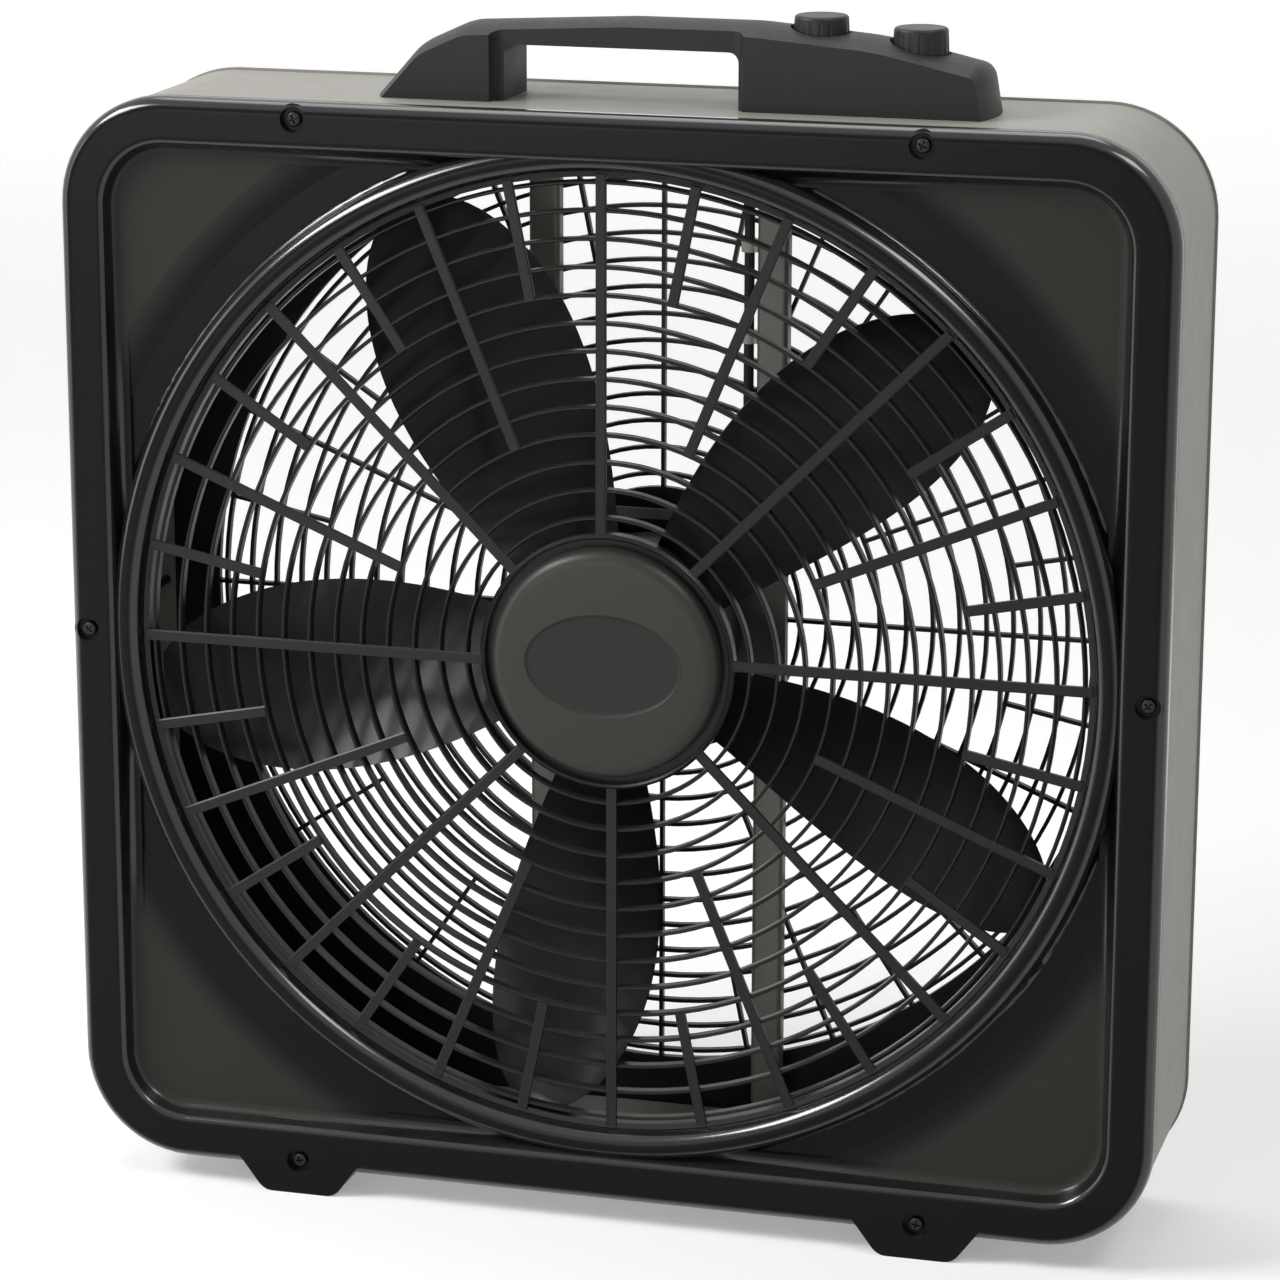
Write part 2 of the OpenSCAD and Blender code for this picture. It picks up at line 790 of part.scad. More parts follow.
module motor_plate() {
  w = strut_x + strut_w / 2 + 1;
  h = plate_screw_z + 10;
  color([0.60, 0.59, 0.55]) difference() {
    facing(plate_front) linear_extrude(plate_t) difference() {
      translate([0, axis_z]) filled([[-w, -h], [w, -h], [w, h], [-w, h]], [12, 12, 12, 12]);
      translate([0, axis_z]) circle(rear_bush_r + 4);
      // Windows either side of the motor
      for (s = [-1, 1]) translate([0, axis_z + s * (h - 9)]) filled(
        [[-26, -4], [26, -4], [26, 4], [-26, 4]], [3, 3, 3, 3]
      );
    }
    for (s = [-1, 1], t = [-1, 1])
      bar(s * strut_x, axis_z + t * plate_screw_z, 0, depth, screw_r + 0.05);
    motor_bolt_holes();
  }
}

module plate_screws() {
  color([0.55, 0.55, 0.56]) for (s = [-1, 1], t = [-1, 1])
    screw(s * strut_x, axis_z + t * plate_screw_z, plate_front, 6);
}

// ---------- motor ----------

BOLTS = [for (a = [45 : 90 : 315]) [bolt_ring * cos(a), axis_z + bolt_ring * sin(a)]];

module motor_bolt_holes() {
  for (p = BOLTS) bar(p[0], p[1], 0, depth, bolt_r + hole_gap);
}

// A drawn steel bell: a cup with a seat for its bush; back = 1 for the rear one
module bell(len, bush_r, back) {
  face = back ? core_back + len : core_front - len;
  s = back ? -1 : 1;
  vents = 8;
  color([0.45, 0.45, 0.44]) difference() {
    turned() {
      translate([0, face]) mirror([0, back ? 1 : 0]) {
        wall_section(
          [
            [motor_r - bell_t, len], [motor_r - bell_t, bell_t], [bush_r + 5, bell_t],
            [bush_r + 4, bell_t + 4], [bush_r, bell_t + 4],
          ],
          [0, 5, 1.2, 0, 0], bell_t
        );
        translate([bush_r, 4]) square([bell_t, 5]);
      }
    }
    for (i = [0 : vents - 1]) translate([0, -depth / 2 + face, axis_z])
      rotate([-90, 0, 0]) rotate(i * 360 / vents) translate([28, 0, -20])
        linear_extrude(40) filled([[-5, -4], [5, -6], [5, 6], [-5, 4]], [2, 2, 2, 2]);
    motor_bolt_holes();
  }
}

module front_motor_bell() bell(front_bell_len, front_bush_r, false);
module rear_motor_bell() bell(rear_bell_len, rear_bush_r, true);

module stator_core() {
  color([0.35, 0.35, 0.37]) difference() {
    turned() translate([core_bore, core_front]) square([motor_r - core_bore, core_len]);
    facing(core_front - 1) linear_extrude(core_len + 2) stator_slots(0);
    motor_bolt_holes();
  }
}

// Slots through the core; d makes them smaller all round
module stator_slots(d) {
  translate([0, axis_z]) for (i = [0 : slots - 1]) rotate(i * 360 / slots)
    filled(
      [[slot_r - 5, -3.2], [slot_r + 5, -4.6], [slot_r + 5, 4.6], [slot_r - 5, 3.2]],
      [2, 2, 2, 2], d
    );
}

module stator_windings() {
  color([0.62, 0.32, 0.16]) {
    for (at_depth = [core_front - 8, core_back]) turned() translate([0, at_depth])
      filled(
        [[slot_r - 6, 0], [slot_r + 6, 0], [slot_r + 6, 8], [slot_r - 6, 8]], [3, 3, 3, 3]
      );
    facing(core_front - 2) linear_extrude(core_len + 4) stator_slots(slip);
  }
}

module bush(face, back) {
  color([0.72, 0.55, 0.3]) turned() translate([0, face]) mirror([0, back ? 1 : 0])
    translate([shaft_r + run_gap, 2.5]) square([front_bush_r - shaft_r - run_gap, 7.5]);
}

module front_bush() bush(bell_front, false);
module rear_bush() bush(plate_front, true);

module motor_bolts() {
  color([0.7, 0.7, 0.7])
    for (p = BOLTS) screw(p[0], p[1], bell_front, plate_front + plate_t + 4 - bell_front, 1, bolt_r);
}

module motor_nuts() {
  color([0.7, 0.7, 0.7]) for (p = BOLTS)
    translate([p[0], plate_front + plate_t - depth / 2, p[1]]) rotate([-90, 0, 0])
      difference() {
        cylinder(h = 3.2, r = 4.2, $fn = 6);
        translate([0, 0, -1]) cylinder(h = 6, r = bolt_r + 0.05);
      }
}

// ---------- lead from the motor to the controls ----------

lead_r = 2.5;
lead_x = strut_x - strut_w / 2 - 4.5;
LEAD = [
  [33.1, 88, axis_z + 33.1], [38, 88, axis_z + 44], [lead_x, 90, axis_z + 60],
  [lead_x, 101, axis_z + 68], [lead_x, 101, panel_top - 52], [lead_x, 90, panel_top - 38],
  [56, 86, panel_top - 24], [74, 70, panel_top - 14], [77, 64, panel_top - 8],
  [77, 64, band_top + 2.9],
];

// The lead's path with its bends rounded off over the last part of each run
LEAD_PATH = [
  for (i = [0 : len(LEAD) - 1])
    if (i == 0 || i == len(LEAD) - 1) LEAD[i]
    else let (
      p = LEAD[i],
      e = min(6, norm(LEAD[i - 1] - p) / 2.2, norm(LEAD[i + 1] - p) / 2.2),
      a = p + e * unit(LEAD[i - 1] - p),
      b = p + e * unit(LEAD[i + 1] - p)
    ) each [for (t = [0 : 0.25 : 1]) (1 - t) * (1 - t) * a + 2 * t * (1 - t) * p + t * t * b]
];
lead_sides = 10;

module motor_lead() {
  last = len(LEAD_PATH) - 1;
  color([0.1, 0.1, 0.1]) translate([0, -depth / 2, 0]) loft([
    for (i = [0 : last])
      let (
        d = unit(LEAD_PATH[min(i + 1, last)] - LEAD_PATH[max(i - 1, 0)]),
        u = unit(cross(d, [1, 1, 0])),
        v = cross(d, u)
      ) [
        for (k = [0 : lead_sides - 1]) let (a = -360 * k / lead_sides)
          LEAD_PATH[i] + lead_r * (cos(a) * u + sin(a) * v)
      ]
  ]);
}

module lead_clips() {
  color([0.85, 0.85, 0.82]) for (share = [0.12, 0.5, 0.82])
    translate(LEAD[3] + share * (LEAD[4] - LEAD[3]) - [0, depth / 2, 0]) difference() {
      union() {
        cylinder(h = 6, r = lead_r + 1.4);
        translate([0, -2.5, 0]) cube([4.5, 5, 6]);
      }
      translate([0, 0, -1]) cylinder(h = 8, r = lead_r + 0.05);
    }
}

// ---------- rotor ----------

module rotor_core() {
  color([0.5, 0.5, 0.52]) turned() {
    translate([shaft_r, core_front]) square([core_bore - slip - shaft_r, core_len]);
    for (d = [core_front - 1.5, core_back]) translate([shaft_r + 5, d])
      square([core_bore - slip - shaft_r - 6.5, 1.5]);
  }
}

module motor_shaft() {
  color([0.78, 0.78, 0.78]) turned() filled(
    [
      [0, shaft_front], [shaft_r, shaft_front], [shaft_r, plate_front - 2],
      [0, plate_front - 2],
    ],
    [0, 0.8, 0.8, 0]
  );
}

// Blade form, from t = 0 at the root to t = 1 at the tip
function blade_chord(t) = t < 0.6
  ? root_chord + (full_chord - root_chord) * sin(150 * t)
  : full_chord * sqrt(1 - pow((t - 0.6) / 0.42, 2));
function blade_pitch(t) = root_pitch + (tip_pitch - root_pitch) * t;
function blade_radius(t) = blade_root_r + (blade_r - blade_root_r) * t;
function blade_sweep(t) = 16 * t * t - 7 * t;

// A point on the blade: u runs from the trailing edge (-0.5) to the leading edge (0.5)
function blade_point(t, u, side) =
  let (
    r = blade_radius(t),
    c = blade_chord(t),
    p = blade_pitch(t),
    lift = camber * c * (1 - 4 * u * u) + side * (0.5 + 0.8 * (1 - 4 * u * u) * (1.2 - 0.5 * t)),
    along = blade_sweep(t) + c * u * cos(p) - lift * sin(p),
    back = blade_front + 1 + c * (u + 0.5) * sin(p) + lift * cos(p) - camber * c * 0.2,
    turn = along / r * 180 / PI
  ) [r * sin(turn), back, r * cos(turn)];

stations = 16;
strips = 8;

module blade() {
  n = 2 * strips + 2;
  points = [
    for (i = [0 : stations], j = [0 : n - 1])
      let (
        t = i / stations,
        side = j <= strips ? -1 : 1,
        k = j <= strips ? j : n - 1 - j
      ) blade_point(t, -0.5 * cos(180 * k / strips), side)
  ];
  sides = [
    for (i = [0 : stations - 1], j = [0 : n - 1])
      let (a = i * n + j, b = i * n + (j + 1) % n) each [[a, b + n, b], [a, a + n, b + n]]
  ];
  root = [for (j = [0 : strips - 1]) each [
    [j, j + 1, n - 1 - j], [j + 1, n - 2 - j, n - 1 - j],
  ]];
  tip = [for (f = root) [for (v = reverse(f)) v + stations * n]];
  polyhedron(points, concat(sides, root, tip));
}

module fan_blade() {
  color([0.07, 0.07, 0.07]) {
    translate([0, -depth / 2, axis_z])
      for (i = [0 : blades - 1]) rotate([0, blade_phase + i * 360 / blades, 0]) blade();
    turned() {
      // Cup
      wall_section(
        [[hub_r - hub_wall, hub_back], [hub_r - hub_wall, hub_front + hub_wall],
         [shaft_r + 6, hub_front + hub_wall]],
        [0, 5, 0], hub_wall
      );
      // Boss on the shaft
      translate([shaft_r, hub_front]) square([6.5, 22]);
    }
    // Webs from the boss to the cup's wall
    for (i = [0 : blades - 1]) translate([0, -depth / 2 + hub_front + 1, axis_z])
      rotate([0, i * 360 / blades, 0]) translate([shaft_r + 5, 0, -1])
        cube([hub_r - hub_wall - shaft_r - 4.5, 16, 2]);
  }
}

// Push-on clip that holds the hub on the shaft
module blade_clip() {
  color([0.7, 0.7, 0.68]) turned() polygon([
    [shaft_r, hub_front - 2], [shaft_r + 1.2, hub_front - 2.6], [shaft_r + 2.4, hub_front - 1.2],
    [shaft_r + 5, hub_front - 1.2], [shaft_r + 5, hub_front], [shaft_r, hub_front],
  ]);
}

front_panel();
front_grille();
centre_badge();
front_screws();
housing_band();
rear_grille();
rear_screws();
handle();
handle_screws();
cord_inlet();
speed_knob();
speed_switch();
speed_shaft();
thermostat_knob();
thermostat();
thermostat_shaft();
switch_nuts();
capacitor();
left_strut();
right_strut();
strut_screws();
motor_plate();
plate_screws();
front_motor_bell();
rear_motor_bell();
stator_core();
stator_windings();
front_bush();
rear_bush();
motor_bolts();
motor_nuts();
motor_lead();
lead_clips();
rotor_core();
motor_shaft();
fan_blade();
blade_clip();
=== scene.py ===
"""Finishes, rotor, handle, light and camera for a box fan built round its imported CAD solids."""

import logging
import math
from collections.abc import Sequence
from dataclasses import dataclass
from enum import Enum

import bmesh
import bpy
from mathutils import Matrix, Vector


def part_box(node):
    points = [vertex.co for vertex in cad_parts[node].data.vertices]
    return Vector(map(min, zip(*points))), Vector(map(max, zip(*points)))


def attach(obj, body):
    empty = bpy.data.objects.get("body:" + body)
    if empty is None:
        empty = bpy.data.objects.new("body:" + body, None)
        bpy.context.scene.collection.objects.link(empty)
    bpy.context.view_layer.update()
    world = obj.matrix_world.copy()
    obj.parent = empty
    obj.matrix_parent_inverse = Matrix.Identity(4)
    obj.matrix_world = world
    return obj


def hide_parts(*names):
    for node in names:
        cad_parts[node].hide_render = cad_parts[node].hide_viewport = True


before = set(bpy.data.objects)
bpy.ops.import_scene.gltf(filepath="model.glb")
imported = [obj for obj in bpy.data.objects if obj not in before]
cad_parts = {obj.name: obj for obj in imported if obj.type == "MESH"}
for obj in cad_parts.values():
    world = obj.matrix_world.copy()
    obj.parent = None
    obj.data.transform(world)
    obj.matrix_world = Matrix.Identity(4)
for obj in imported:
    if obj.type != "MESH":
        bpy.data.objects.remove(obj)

LOG = logging.getLogger("box_fan")
MM = 0.001
SAME_PLACE = 0.01 * MM
FULL_TURN = 2 * math.pi
FACE_FRONT = Matrix.Rotation(math.radians(90), 4, "X")

Colour = tuple[float, float, float]
Point = tuple[float, float]
Socket = bpy.types.NodeSocket
Value = float | Sequence[float] | Socket


class Body(Enum):
    """The rigid bodies that new pieces ride on."""

    HOUSING = "housing"
    FAN = "fan"


class Texture(Enum):
    """The textures that a moulding tool leaves, as (cells a metre, bump height in metres)."""

    POLISHED = (900.0, 0.000004)
    SATIN = (1600.0, 0.00003)
    SPARK = (1100.0, 0.00009)


def rgba(colour: Colour) -> tuple[float, float, float, float]:
    """Returns a colour with full alpha."""
    return (*colour, 1.0)


def toned(colour: Colour, share: float) -> Colour:
    """Returns a colour made lighter or darker by a share."""
    return tuple(c * share for c in colour)


# ---------------------------------------------------------------- node trees and groups


class Tree:
    """A node tree with short ways of adding to it."""

    def __init__(self, tree: bpy.types.NodeTree) -> None:
        """Keeps the tree that nodes are added to."""
        self.tree = tree

    def feed(self, target: Socket, value: Value) -> None:
        """Fills an input.

        Args:
            target: The input.
            value: Its value, or the output that is linked to it.
        """
        if isinstance(value, bpy.types.NodeSocket):
            self.tree.links.new(value, target)
        else:
            target.default_value = value

    def fill(self, node: bpy.types.Node, named: dict[str, Value]) -> None:
        """Fills a node's inputs, by name with spaces as underscores."""
        for label, value in named.items():
            self.feed(node.inputs[label.replace("_", " ")], value)

    def node(self, kind: str, *values: Value, **named: Value) -> bpy.types.Node:
        """Adds a node.

        Args:
            kind: Its type without ShaderNode, and its operation after a colon.
            values: What its first inputs take, in their order.
            named: What its other inputs take, by name.

        Returns:
            The node.
        """
        kind, _, operation = kind.partition(":")
        made = self.tree.nodes.new("ShaderNode" + kind)
        if operation:
            made.operation = operation
        for target, value in zip(made.inputs, values):
            self.feed(target, value)
        self.fill(made, named)
        return made

    def math(self, operation: str, *values: Value, clamp: bool = False) -> Socket:
        """Adds a sum over numbers.

        Args:
            operation: What it does.
            values: Its numbers.
            clamp: Whether the result stays between 0 and 1.

        Returns:
            The result's socket.
        """
        made = self.node("Math:" + operation, *values)
        made.use_clamp = clamp
        return made.outputs[0]

    def vector(self, operation: str, *values: Value) -> Socket:
        """Adds a sum over vectors and returns its result, which is a number for a length."""
        outputs = self.node("VectorMath:" + operation, *values).outputs
        return outputs["Value" if operation == "LENGTH" else "Vector"]

    def mix(self, share: Value, low: Value, high: Value, kind: str = "RGBA") -> Socket:
        """Adds a blend of two colours or two numbers.

        Args:
            share: The second one's share.
            low: The first one.
            high: The second one.
            kind: RGBA for colours or FLOAT for numbers.

        Returns:
            The result's socket.
        """
        made = self.node("Mix", share)
        made.data_type = kind
        first, result = {"FLOAT": (2, 0), "RGBA": (6, 2)}[kind]
        self.feed(made.inputs[first], low)
        self.feed(made.inputs[first + 1], high)
        return made.outputs[result]

    def span(
        self, source: Value, start: float, end: float, low: float = 0.0, high: float = 1.0,
        smooth: bool = False,
    ) -> Socket:
        """Maps a stretch of values to another one and stops at its ends.

        Args:
            source: The value.
            start: Where the stretch starts.
            end: Where it ends.
            low: The result at its start.
            high: The result at its end.
            smooth: Whether it eases in and out.

        Returns:
            The result's socket.
        """
        made = self.node("MapRange", source, start, end, low, high)
        made.interpolation_type = "SMOOTHSTEP" if smooth else "LINEAR"
        return made.outputs["Result"]

    def place(self) -> Socket:
        """Returns the point's place in the object."""
        return self.node("TexCoord").outputs["Object"]

    def facing(self, axis: str) -> Socket:
        """Returns one part of the surface's normal."""
        normal = self.node("NewGeometry").outputs["Normal"]
        return self.node("SeparateXYZ", normal).outputs[axis]

    def noise(self, scale: Value, detail: float, **named: Value) -> Socket:
        """Adds a soft noise over the object.

        Args:
            scale: Its cells a metre.
            detail: How many finer layers it has.
            named: What its other inputs take.

        Returns:
            The noise's socket.
        """
        if "Vector" not in named:
            named["Vector"] = self.place()
        return self.node("TexNoise", Scale=scale, Detail=detail, **named).outputs["Fac"]

    def shown(self) -> Socket:
        """Tells rays from the camera, gloss and glass from rays of light.

        Returns:
            The socket of 1 for the first and 0 for the others.
        """
        rays = self.node("LightPath").outputs
        mirrored = self.math("MAXIMUM", rays["Is Camera Ray"], rays["Is Glossy Ray"])
        return self.math("MAXIMUM", mirrored, rays["Is Transmission Ray"])


class SharedGroup:
    """A node group that several finishes use, built when the first one needs it."""

    name: str
    inputs: dict[str, Value]
    outputs: tuple[str, ...]

    @staticmethod
    def wire(tree: Tree, given: dict[str, Socket]) -> tuple[Socket, ...]:
        """Adds the group's nodes from its inputs to its outputs, in each group's own way."""
        raise NotImplementedError

    @classmethod
    def built(cls) -> bpy.types.NodeTree:
        """Finds the group, or builds it the first time.

        Returns:
            The group.
        """
        if cls.name in bpy.data.node_groups:
            return bpy.data.node_groups[cls.name]
        group = bpy.data.node_groups.new(cls.name, "ShaderNodeTree")
        kinds = {1: "NodeSocketFloat", 3: "NodeSocketVector", 4: "NodeSocketColor"}
        for label, value in cls.inputs.items():
            kind = kinds[len(value) if isinstance(value, tuple) else 1]
            sock = group.interface.new_socket(label, in_out="INPUT", socket_type=kind)
            sock.default_value = value
        for label in cls.outputs:
            kind = kinds[4 if label == "Color" else 1]
            group.interface.new_socket(label, in_out="OUTPUT", socket_type=kind)
        entry, leave = (group.nodes.new("NodeGroup" + end) for end in ("Input", "Output"))
        given = {label: entry.outputs[label] for label in cls.inputs}
        for label, source in zip(cls.outputs, cls.wire(Tree(group), given)):
            group.links.new(source, leave.inputs[label])
        return group


class MouldedGrain(SharedGroup):
    """Fine cells of a textured moulding tool, with slow waviness under them."""

    name = "moulded_grain"
    inputs = {"Cells": 1500.0, "Waviness": 0.3}
    outputs = ("Height", "Mottle")
    cell_share = 0.35
    layers = 3.0
    layer_share = 0.62
    waves = (14.0, 2.0)
    patches = (60.0, 4.0)

    @staticmethod
    def wire(tree: Tree, given: dict[str, Socket]) -> tuple[Socket, ...]:
        """Adds the nodes.

        Args:
            tree: The group's tree.
            given: Its inputs by name.

        Returns:
            Its outputs in their order.
        """
        own = MouldedGrain
        fine = tree.noise(given["Cells"], own.layers, Roughness=own.layer_share)
        cell = tree.node("TexVoronoi", Vector=tree.place(), Scale=given["Cells"])
        slow = tree.noise(*own.waves)
        grain = tree.math("MULTIPLY_ADD", cell.outputs["Distance"], own.cell_share, fine)
        height = tree.math("MULTIPLY_ADD", slow, given["Waviness"], grain)
        return height, tree.noise(*own.patches)


class TwoTone(SharedGroup):
    """Drifts between two close colours in large soft patches and small specks."""

    name = "two_tone"
    inputs = {
        "Colour A": (0.1, 0.1, 0.1, 1.0), "Colour B": (0.2, 0.2, 0.2, 1.0),
        "Patch Scale": 9.0, "Speck Scale": 700.0, "Speck Share": 0.4,
    }
    outputs = ("Color",)
    patch_layers = 3.0
    speck_layers = 1.0

    @staticmethod
    def wire(tree: Tree, given: dict[str, Socket]) -> tuple[Socket, ...]:
        """Adds the nodes.

        Args:
            tree: The group's tree.
            given: Its inputs by name.

        Returns:
            Its outputs in their order.
        """
        patch = tree.noise(given["Patch Scale"], TwoTone.patch_layers)
        speck = tree.noise(given["Speck Scale"], TwoTone.speck_layers)
        share = tree.mix(given["Speck Share"], patch, speck, "FLOAT")
        return (tree.mix(share, given["Colour A"], given["Colour B"]),)


class SettledDust(SharedGroup):
    """A thin film of dust that lies on upward faces."""

    name = "settled_dust"
    inputs = {
        "Color": (0.1, 0.1, 0.1, 1.0), "Dust": (0.35, 0.34, 0.31, 1.0), "Amount": 0.08,
    }
    outputs = ("Color",)
    steepest = 0.35
    clouds = (35.0, 6.0)

    @staticmethod
    def wire(tree: Tree, given: dict[str, Socket]) -> tuple[Socket, ...]:
        """Adds the nodes.

        Args:
            tree: The group's tree.
            given: Its inputs by name.

        Returns:
            Its outputs in their order.
        """
        upward = tree.span(tree.facing("Z"), SettledDust.steepest, 1.0)
        cloud = tree.math("MULTIPLY", upward, tree.noise(*SettledDust.clouds))
        film = tree.math("MULTIPLY", cloud, given["Amount"])
        return (tree.mix(film, given["Color"], given["Dust"]),)


class MetalLines(SharedGroup):
    """Long fine lines of rolled or turned metal, drawn out along one direction."""

    name = "metal_lines"
    inputs = {"Stretch": (1.0, 1.0, 1.0), "Lines": 2200.0}
    outputs = ("Height",)
    layers = 4.0

    @staticmethod
    def wire(tree: Tree, given: dict[str, Socket]) -> tuple[Socket, ...]:
        """Adds the nodes."""
        drawn = tree.vector("MULTIPLY", tree.place(), given["Stretch"])
        return (tree.noise(given["Lines"], MetalLines.layers, Vector=drawn),)


class OutlineDistance(SharedGroup):
    """How far a point lies inside a rounded square that stands upright, in metres."""

    name = "outline_distance"
    inputs = {
        "Middle": (0.0, 0.0, 0.0), "Straight Half": (0.2, 0.0, 0.2), "Corner Radius": 0.05,
    }
    outputs = ("Inside",)

    @staticmethod
    def wire(tree: Tree, given: dict[str, Socket]) -> tuple[Socket, ...]:
        """Adds the nodes.

        Args:
            tree: The group's tree.
            given: Its inputs by name.

        Returns:
            Its outputs in their order.
        """
        reach = tree.vector("SUBTRACT", tree.place(), given["Middle"])
        past = tree.vector("SUBTRACT", tree.vector("ABSOLUTE", reach), given["Straight Half"])
        past = tree.vector("MAXIMUM", past, (0.0, 0.0, 0.0))
        past = tree.vector("MULTIPLY", past, (1.0, 0.0, 1.0))
        return (tree.math("SUBTRACT", given["Corner Radius"], tree.vector("LENGTH", past)),)


# ---------------------------------------------------------------- finishes


class Sheet(Tree):
    """A material's node tree, with the parts that finishes have in common."""

    noise_half = 0.25

    def __init__(self, name: str) -> None:
        """Starts a material with one principled shader.

        Args:
            name: The material's name.
        """
        self.material = bpy.data.materials.new(name)
        self.material.use_nodes = True
        super().__init__(self.material.node_tree)
        self.shader = self.tree.nodes["Principled BSDF"]

    def shade(self, **named: Value) -> None:
        """Fills the shader's inputs, by name with spaces as underscores."""
        self.fill(self.shader, named)

    def group(self, kind: type[SharedGroup], **named: Value) -> dict[str, Socket]:
        """Places a node group.

        Args:
            kind: The group.
            named: What its inputs take.

        Returns:
            Its outputs by name.
        """
        placed = self.node("Group")
        placed.node_tree = kind.built()
        self.fill(placed, named)
        return {label: placed.outputs[label] for label in kind.outputs}

    def tone(self, first: Colour, second: Colour, **named: Value) -> Socket:
        """Returns a colour that drifts between two others."""
        pair = {"Colour_A": rgba(first), "Colour_B": rgba(second)}
        return self.group(TwoTone, **pair, **named)["Color"]

    def dusted(self, colour: Socket, amount: float) -> None:
        """Feeds the shader a colour with an amount of dust on its upward faces."""
        self.shade(Base_Color=self.group(SettledDust, Color=colour, Amount=amount)["Color"])

    def bump(self, height: Socket, distance: float) -> None:
        """Feeds the shader's normal from a height, of which 1 stands out by the distance."""
        raised = self.node("Bump", Distance=distance, Strength=1.0, Height=height)
        self.shade(Normal=raised.outputs["Normal"])

    def grain(self, cells: float, height: float, waviness: float) -> Socket:
        """Gives the surface a moulded or sprayed grain.

        Args:
            cells: The grain's cells a metre.
            height: Its height in metres.
            waviness: The share of slow waves under it.

        Returns:
            The socket of a slow mottle.
        """
        grain = self.group(MouldedGrain, Cells=cells, Waviness=waviness)
        self.bump(grain["Height"], height)
        return grain["Mottle"]

    def rough(self, source: Socket, low: float, high: float) -> None:
        """Feeds the shader's roughness from a noise, between a low and a high one."""
        start, end = 0.5 - self.noise_half, 0.5 + self.noise_half
        self.shade(Roughness=self.span(source, start, end, low, high))


@dataclass(frozen=True)
class MouldedPlastic:
    """Injection-moulded plastic with a tool texture, faint mottling and a little dust."""

    name: str
    colour: Colour
    second: Colour
    roughness: float
    texture: Texture = Texture.SATIN
    dust: float = 0.06
    coat: float = 0.0
    specular: float = 0.5
    coat_roughness: float = 0.12
    waviness: float = 0.4
    uneven: Point = (0.93, 1.08)

    def dress(self) -> bpy.types.Material:
        """Builds the material.

        Returns:
            The material.
        """
        sheet = Sheet(self.name)
        sheet.dusted(sheet.tone(self.colour, self.second), self.dust)
        mottle = sheet.grain(*self.texture.value, self.waviness)
        sheet.rough(mottle, *(self.roughness * share for share in self.uneven))
        sheet.shade(
            Specular_IOR_Level=self.specular, Coat_Weight=self.coat,
            Coat_Roughness=self.coat_roughness,
        )
        return sheet.material


@dataclass(frozen=True)
class PanelPlastic:
    """The front panel's plastic: polished on its rounded edges and lip, duller in the pans."""

    name: str
    rim: Colour
    pan: Colour
    pan_depth: float
    axis_height: float
    lip_radius: float
    rim_roughness: float = 0.2
    pan_roughness: float = 0.42
    specular: float = 0.1
    polish: float = 0.14
    dust: float = 0.05
    rim_drift: float = 1.35
    pan_drift: float = 1.18
    pan_edge: Point = (3.5 * MM, 0.5 * MM)
    # Over this stretch outside the lip the pans' charcoal fades to the rim's black: painted shade
    # where the pans slope down to the lip. The stretch also takes the rim's gloss.
    painted_shade_moat: Point = (18 * MM, 36 * MM)
    rounding: Point = (-0.97, -0.86)
    waviness: float = 0.5

    def pans(self, sheet: Sheet) -> Socket:
        """Tells the pans by how deep they lie and how far outside the lip.

        Args:
            sheet: The material.

        Returns:
            The socket of 1 in the pans and 0 elsewhere.
        """
        axes = sheet.node("SeparateXYZ", sheet.place()).outputs
        upper, lower = (self.pan_depth - edge for edge in self.pan_edge)
        deep = sheet.span(axes["Y"], upper, lower, smooth=True)
        level = sheet.math("SUBTRACT", axes["Z"], self.axis_height)
        across = sheet.node("CombineXYZ", X=axes["X"], Z=level).outputs[0]
        # The mask fades out near the lip, so the rim's black is painted there as shade.
        near, far = (self.lip_radius + edge for edge in self.painted_shade_moat)
        outside = sheet.span(sheet.vector("LENGTH", across), near, far, smooth=True)
        return sheet.math("MULTIPLY", deep, outside)

    def dress(self) -> bpy.types.Material:
        """Builds the material, with a clear polish only where the surface turns from the front.

        Returns:
            The material.
        """
        sheet = Sheet(self.name)
        pans = self.pans(sheet)
        rim = sheet.tone(self.rim, toned(self.rim, self.rim_drift))
        pan = sheet.tone(self.pan, toned(self.pan, self.pan_drift))
        # Near the lip the pans' charcoal fades to the rim's black: painted shade.
        sheet.dusted(sheet.mix(pans, rim, pan), self.dust)
        turned = sheet.span(sheet.facing("Y"), *self.rounding, smooth=True)
        sheet.shade(
            Roughness=sheet.span(pans, 0.0, 1.0, self.rim_roughness, self.pan_roughness),
            Specular_IOR_Level=self.specular,
            Coat_Weight=sheet.math("SUBTRACT", turned, pans, clamp=True),
            Coat_Roughness=self.polish,
        )
        sheet.grain(*Texture.SATIN.value, self.waviness)
        return sheet.material


@dataclass(frozen=True)
class BadgePlastic:
    """The badge's satin charcoal, a shade darker and duller on the floor of its bare oval."""

    base: MouldedPlastic
    axis_height: float
    half_width: float
    half_height: float
    shade: float = 0.5
    edge: float = 0.98
    duller: float = 0.14

    def dress(self) -> bpy.types.Material:
        """Builds the material, with the oval's floor told by its outline.

        Returns:
            The material.
        """
        base = self.base
        sheet = Sheet(base.name)
        level = sheet.vector("SUBTRACT", sheet.place(), (0.0, 0.0, self.axis_height))
        squeeze = (1 / self.half_width, 0.0, 1 / self.half_height)
        reach = sheet.vector("LENGTH", sheet.vector("MULTIPLY", level, squeeze))
        oval = sheet.span(reach, 1.0, self.edge)
        disc = sheet.tone(base.colour, base.second)
        floor = sheet.tone(toned(base.colour, self.shade), toned(base.second, self.shade))
        dull = base.roughness + self.duller
        sheet.shade(
            Base_Color=sheet.mix(oval, disc, floor),
            Roughness=sheet.span(oval, 0.0, 1.0, base.roughness, dull),
            Specular_IOR_Level=base.specular,
        )
        sheet.grain(*base.texture.value, base.waviness)
        return sheet.material


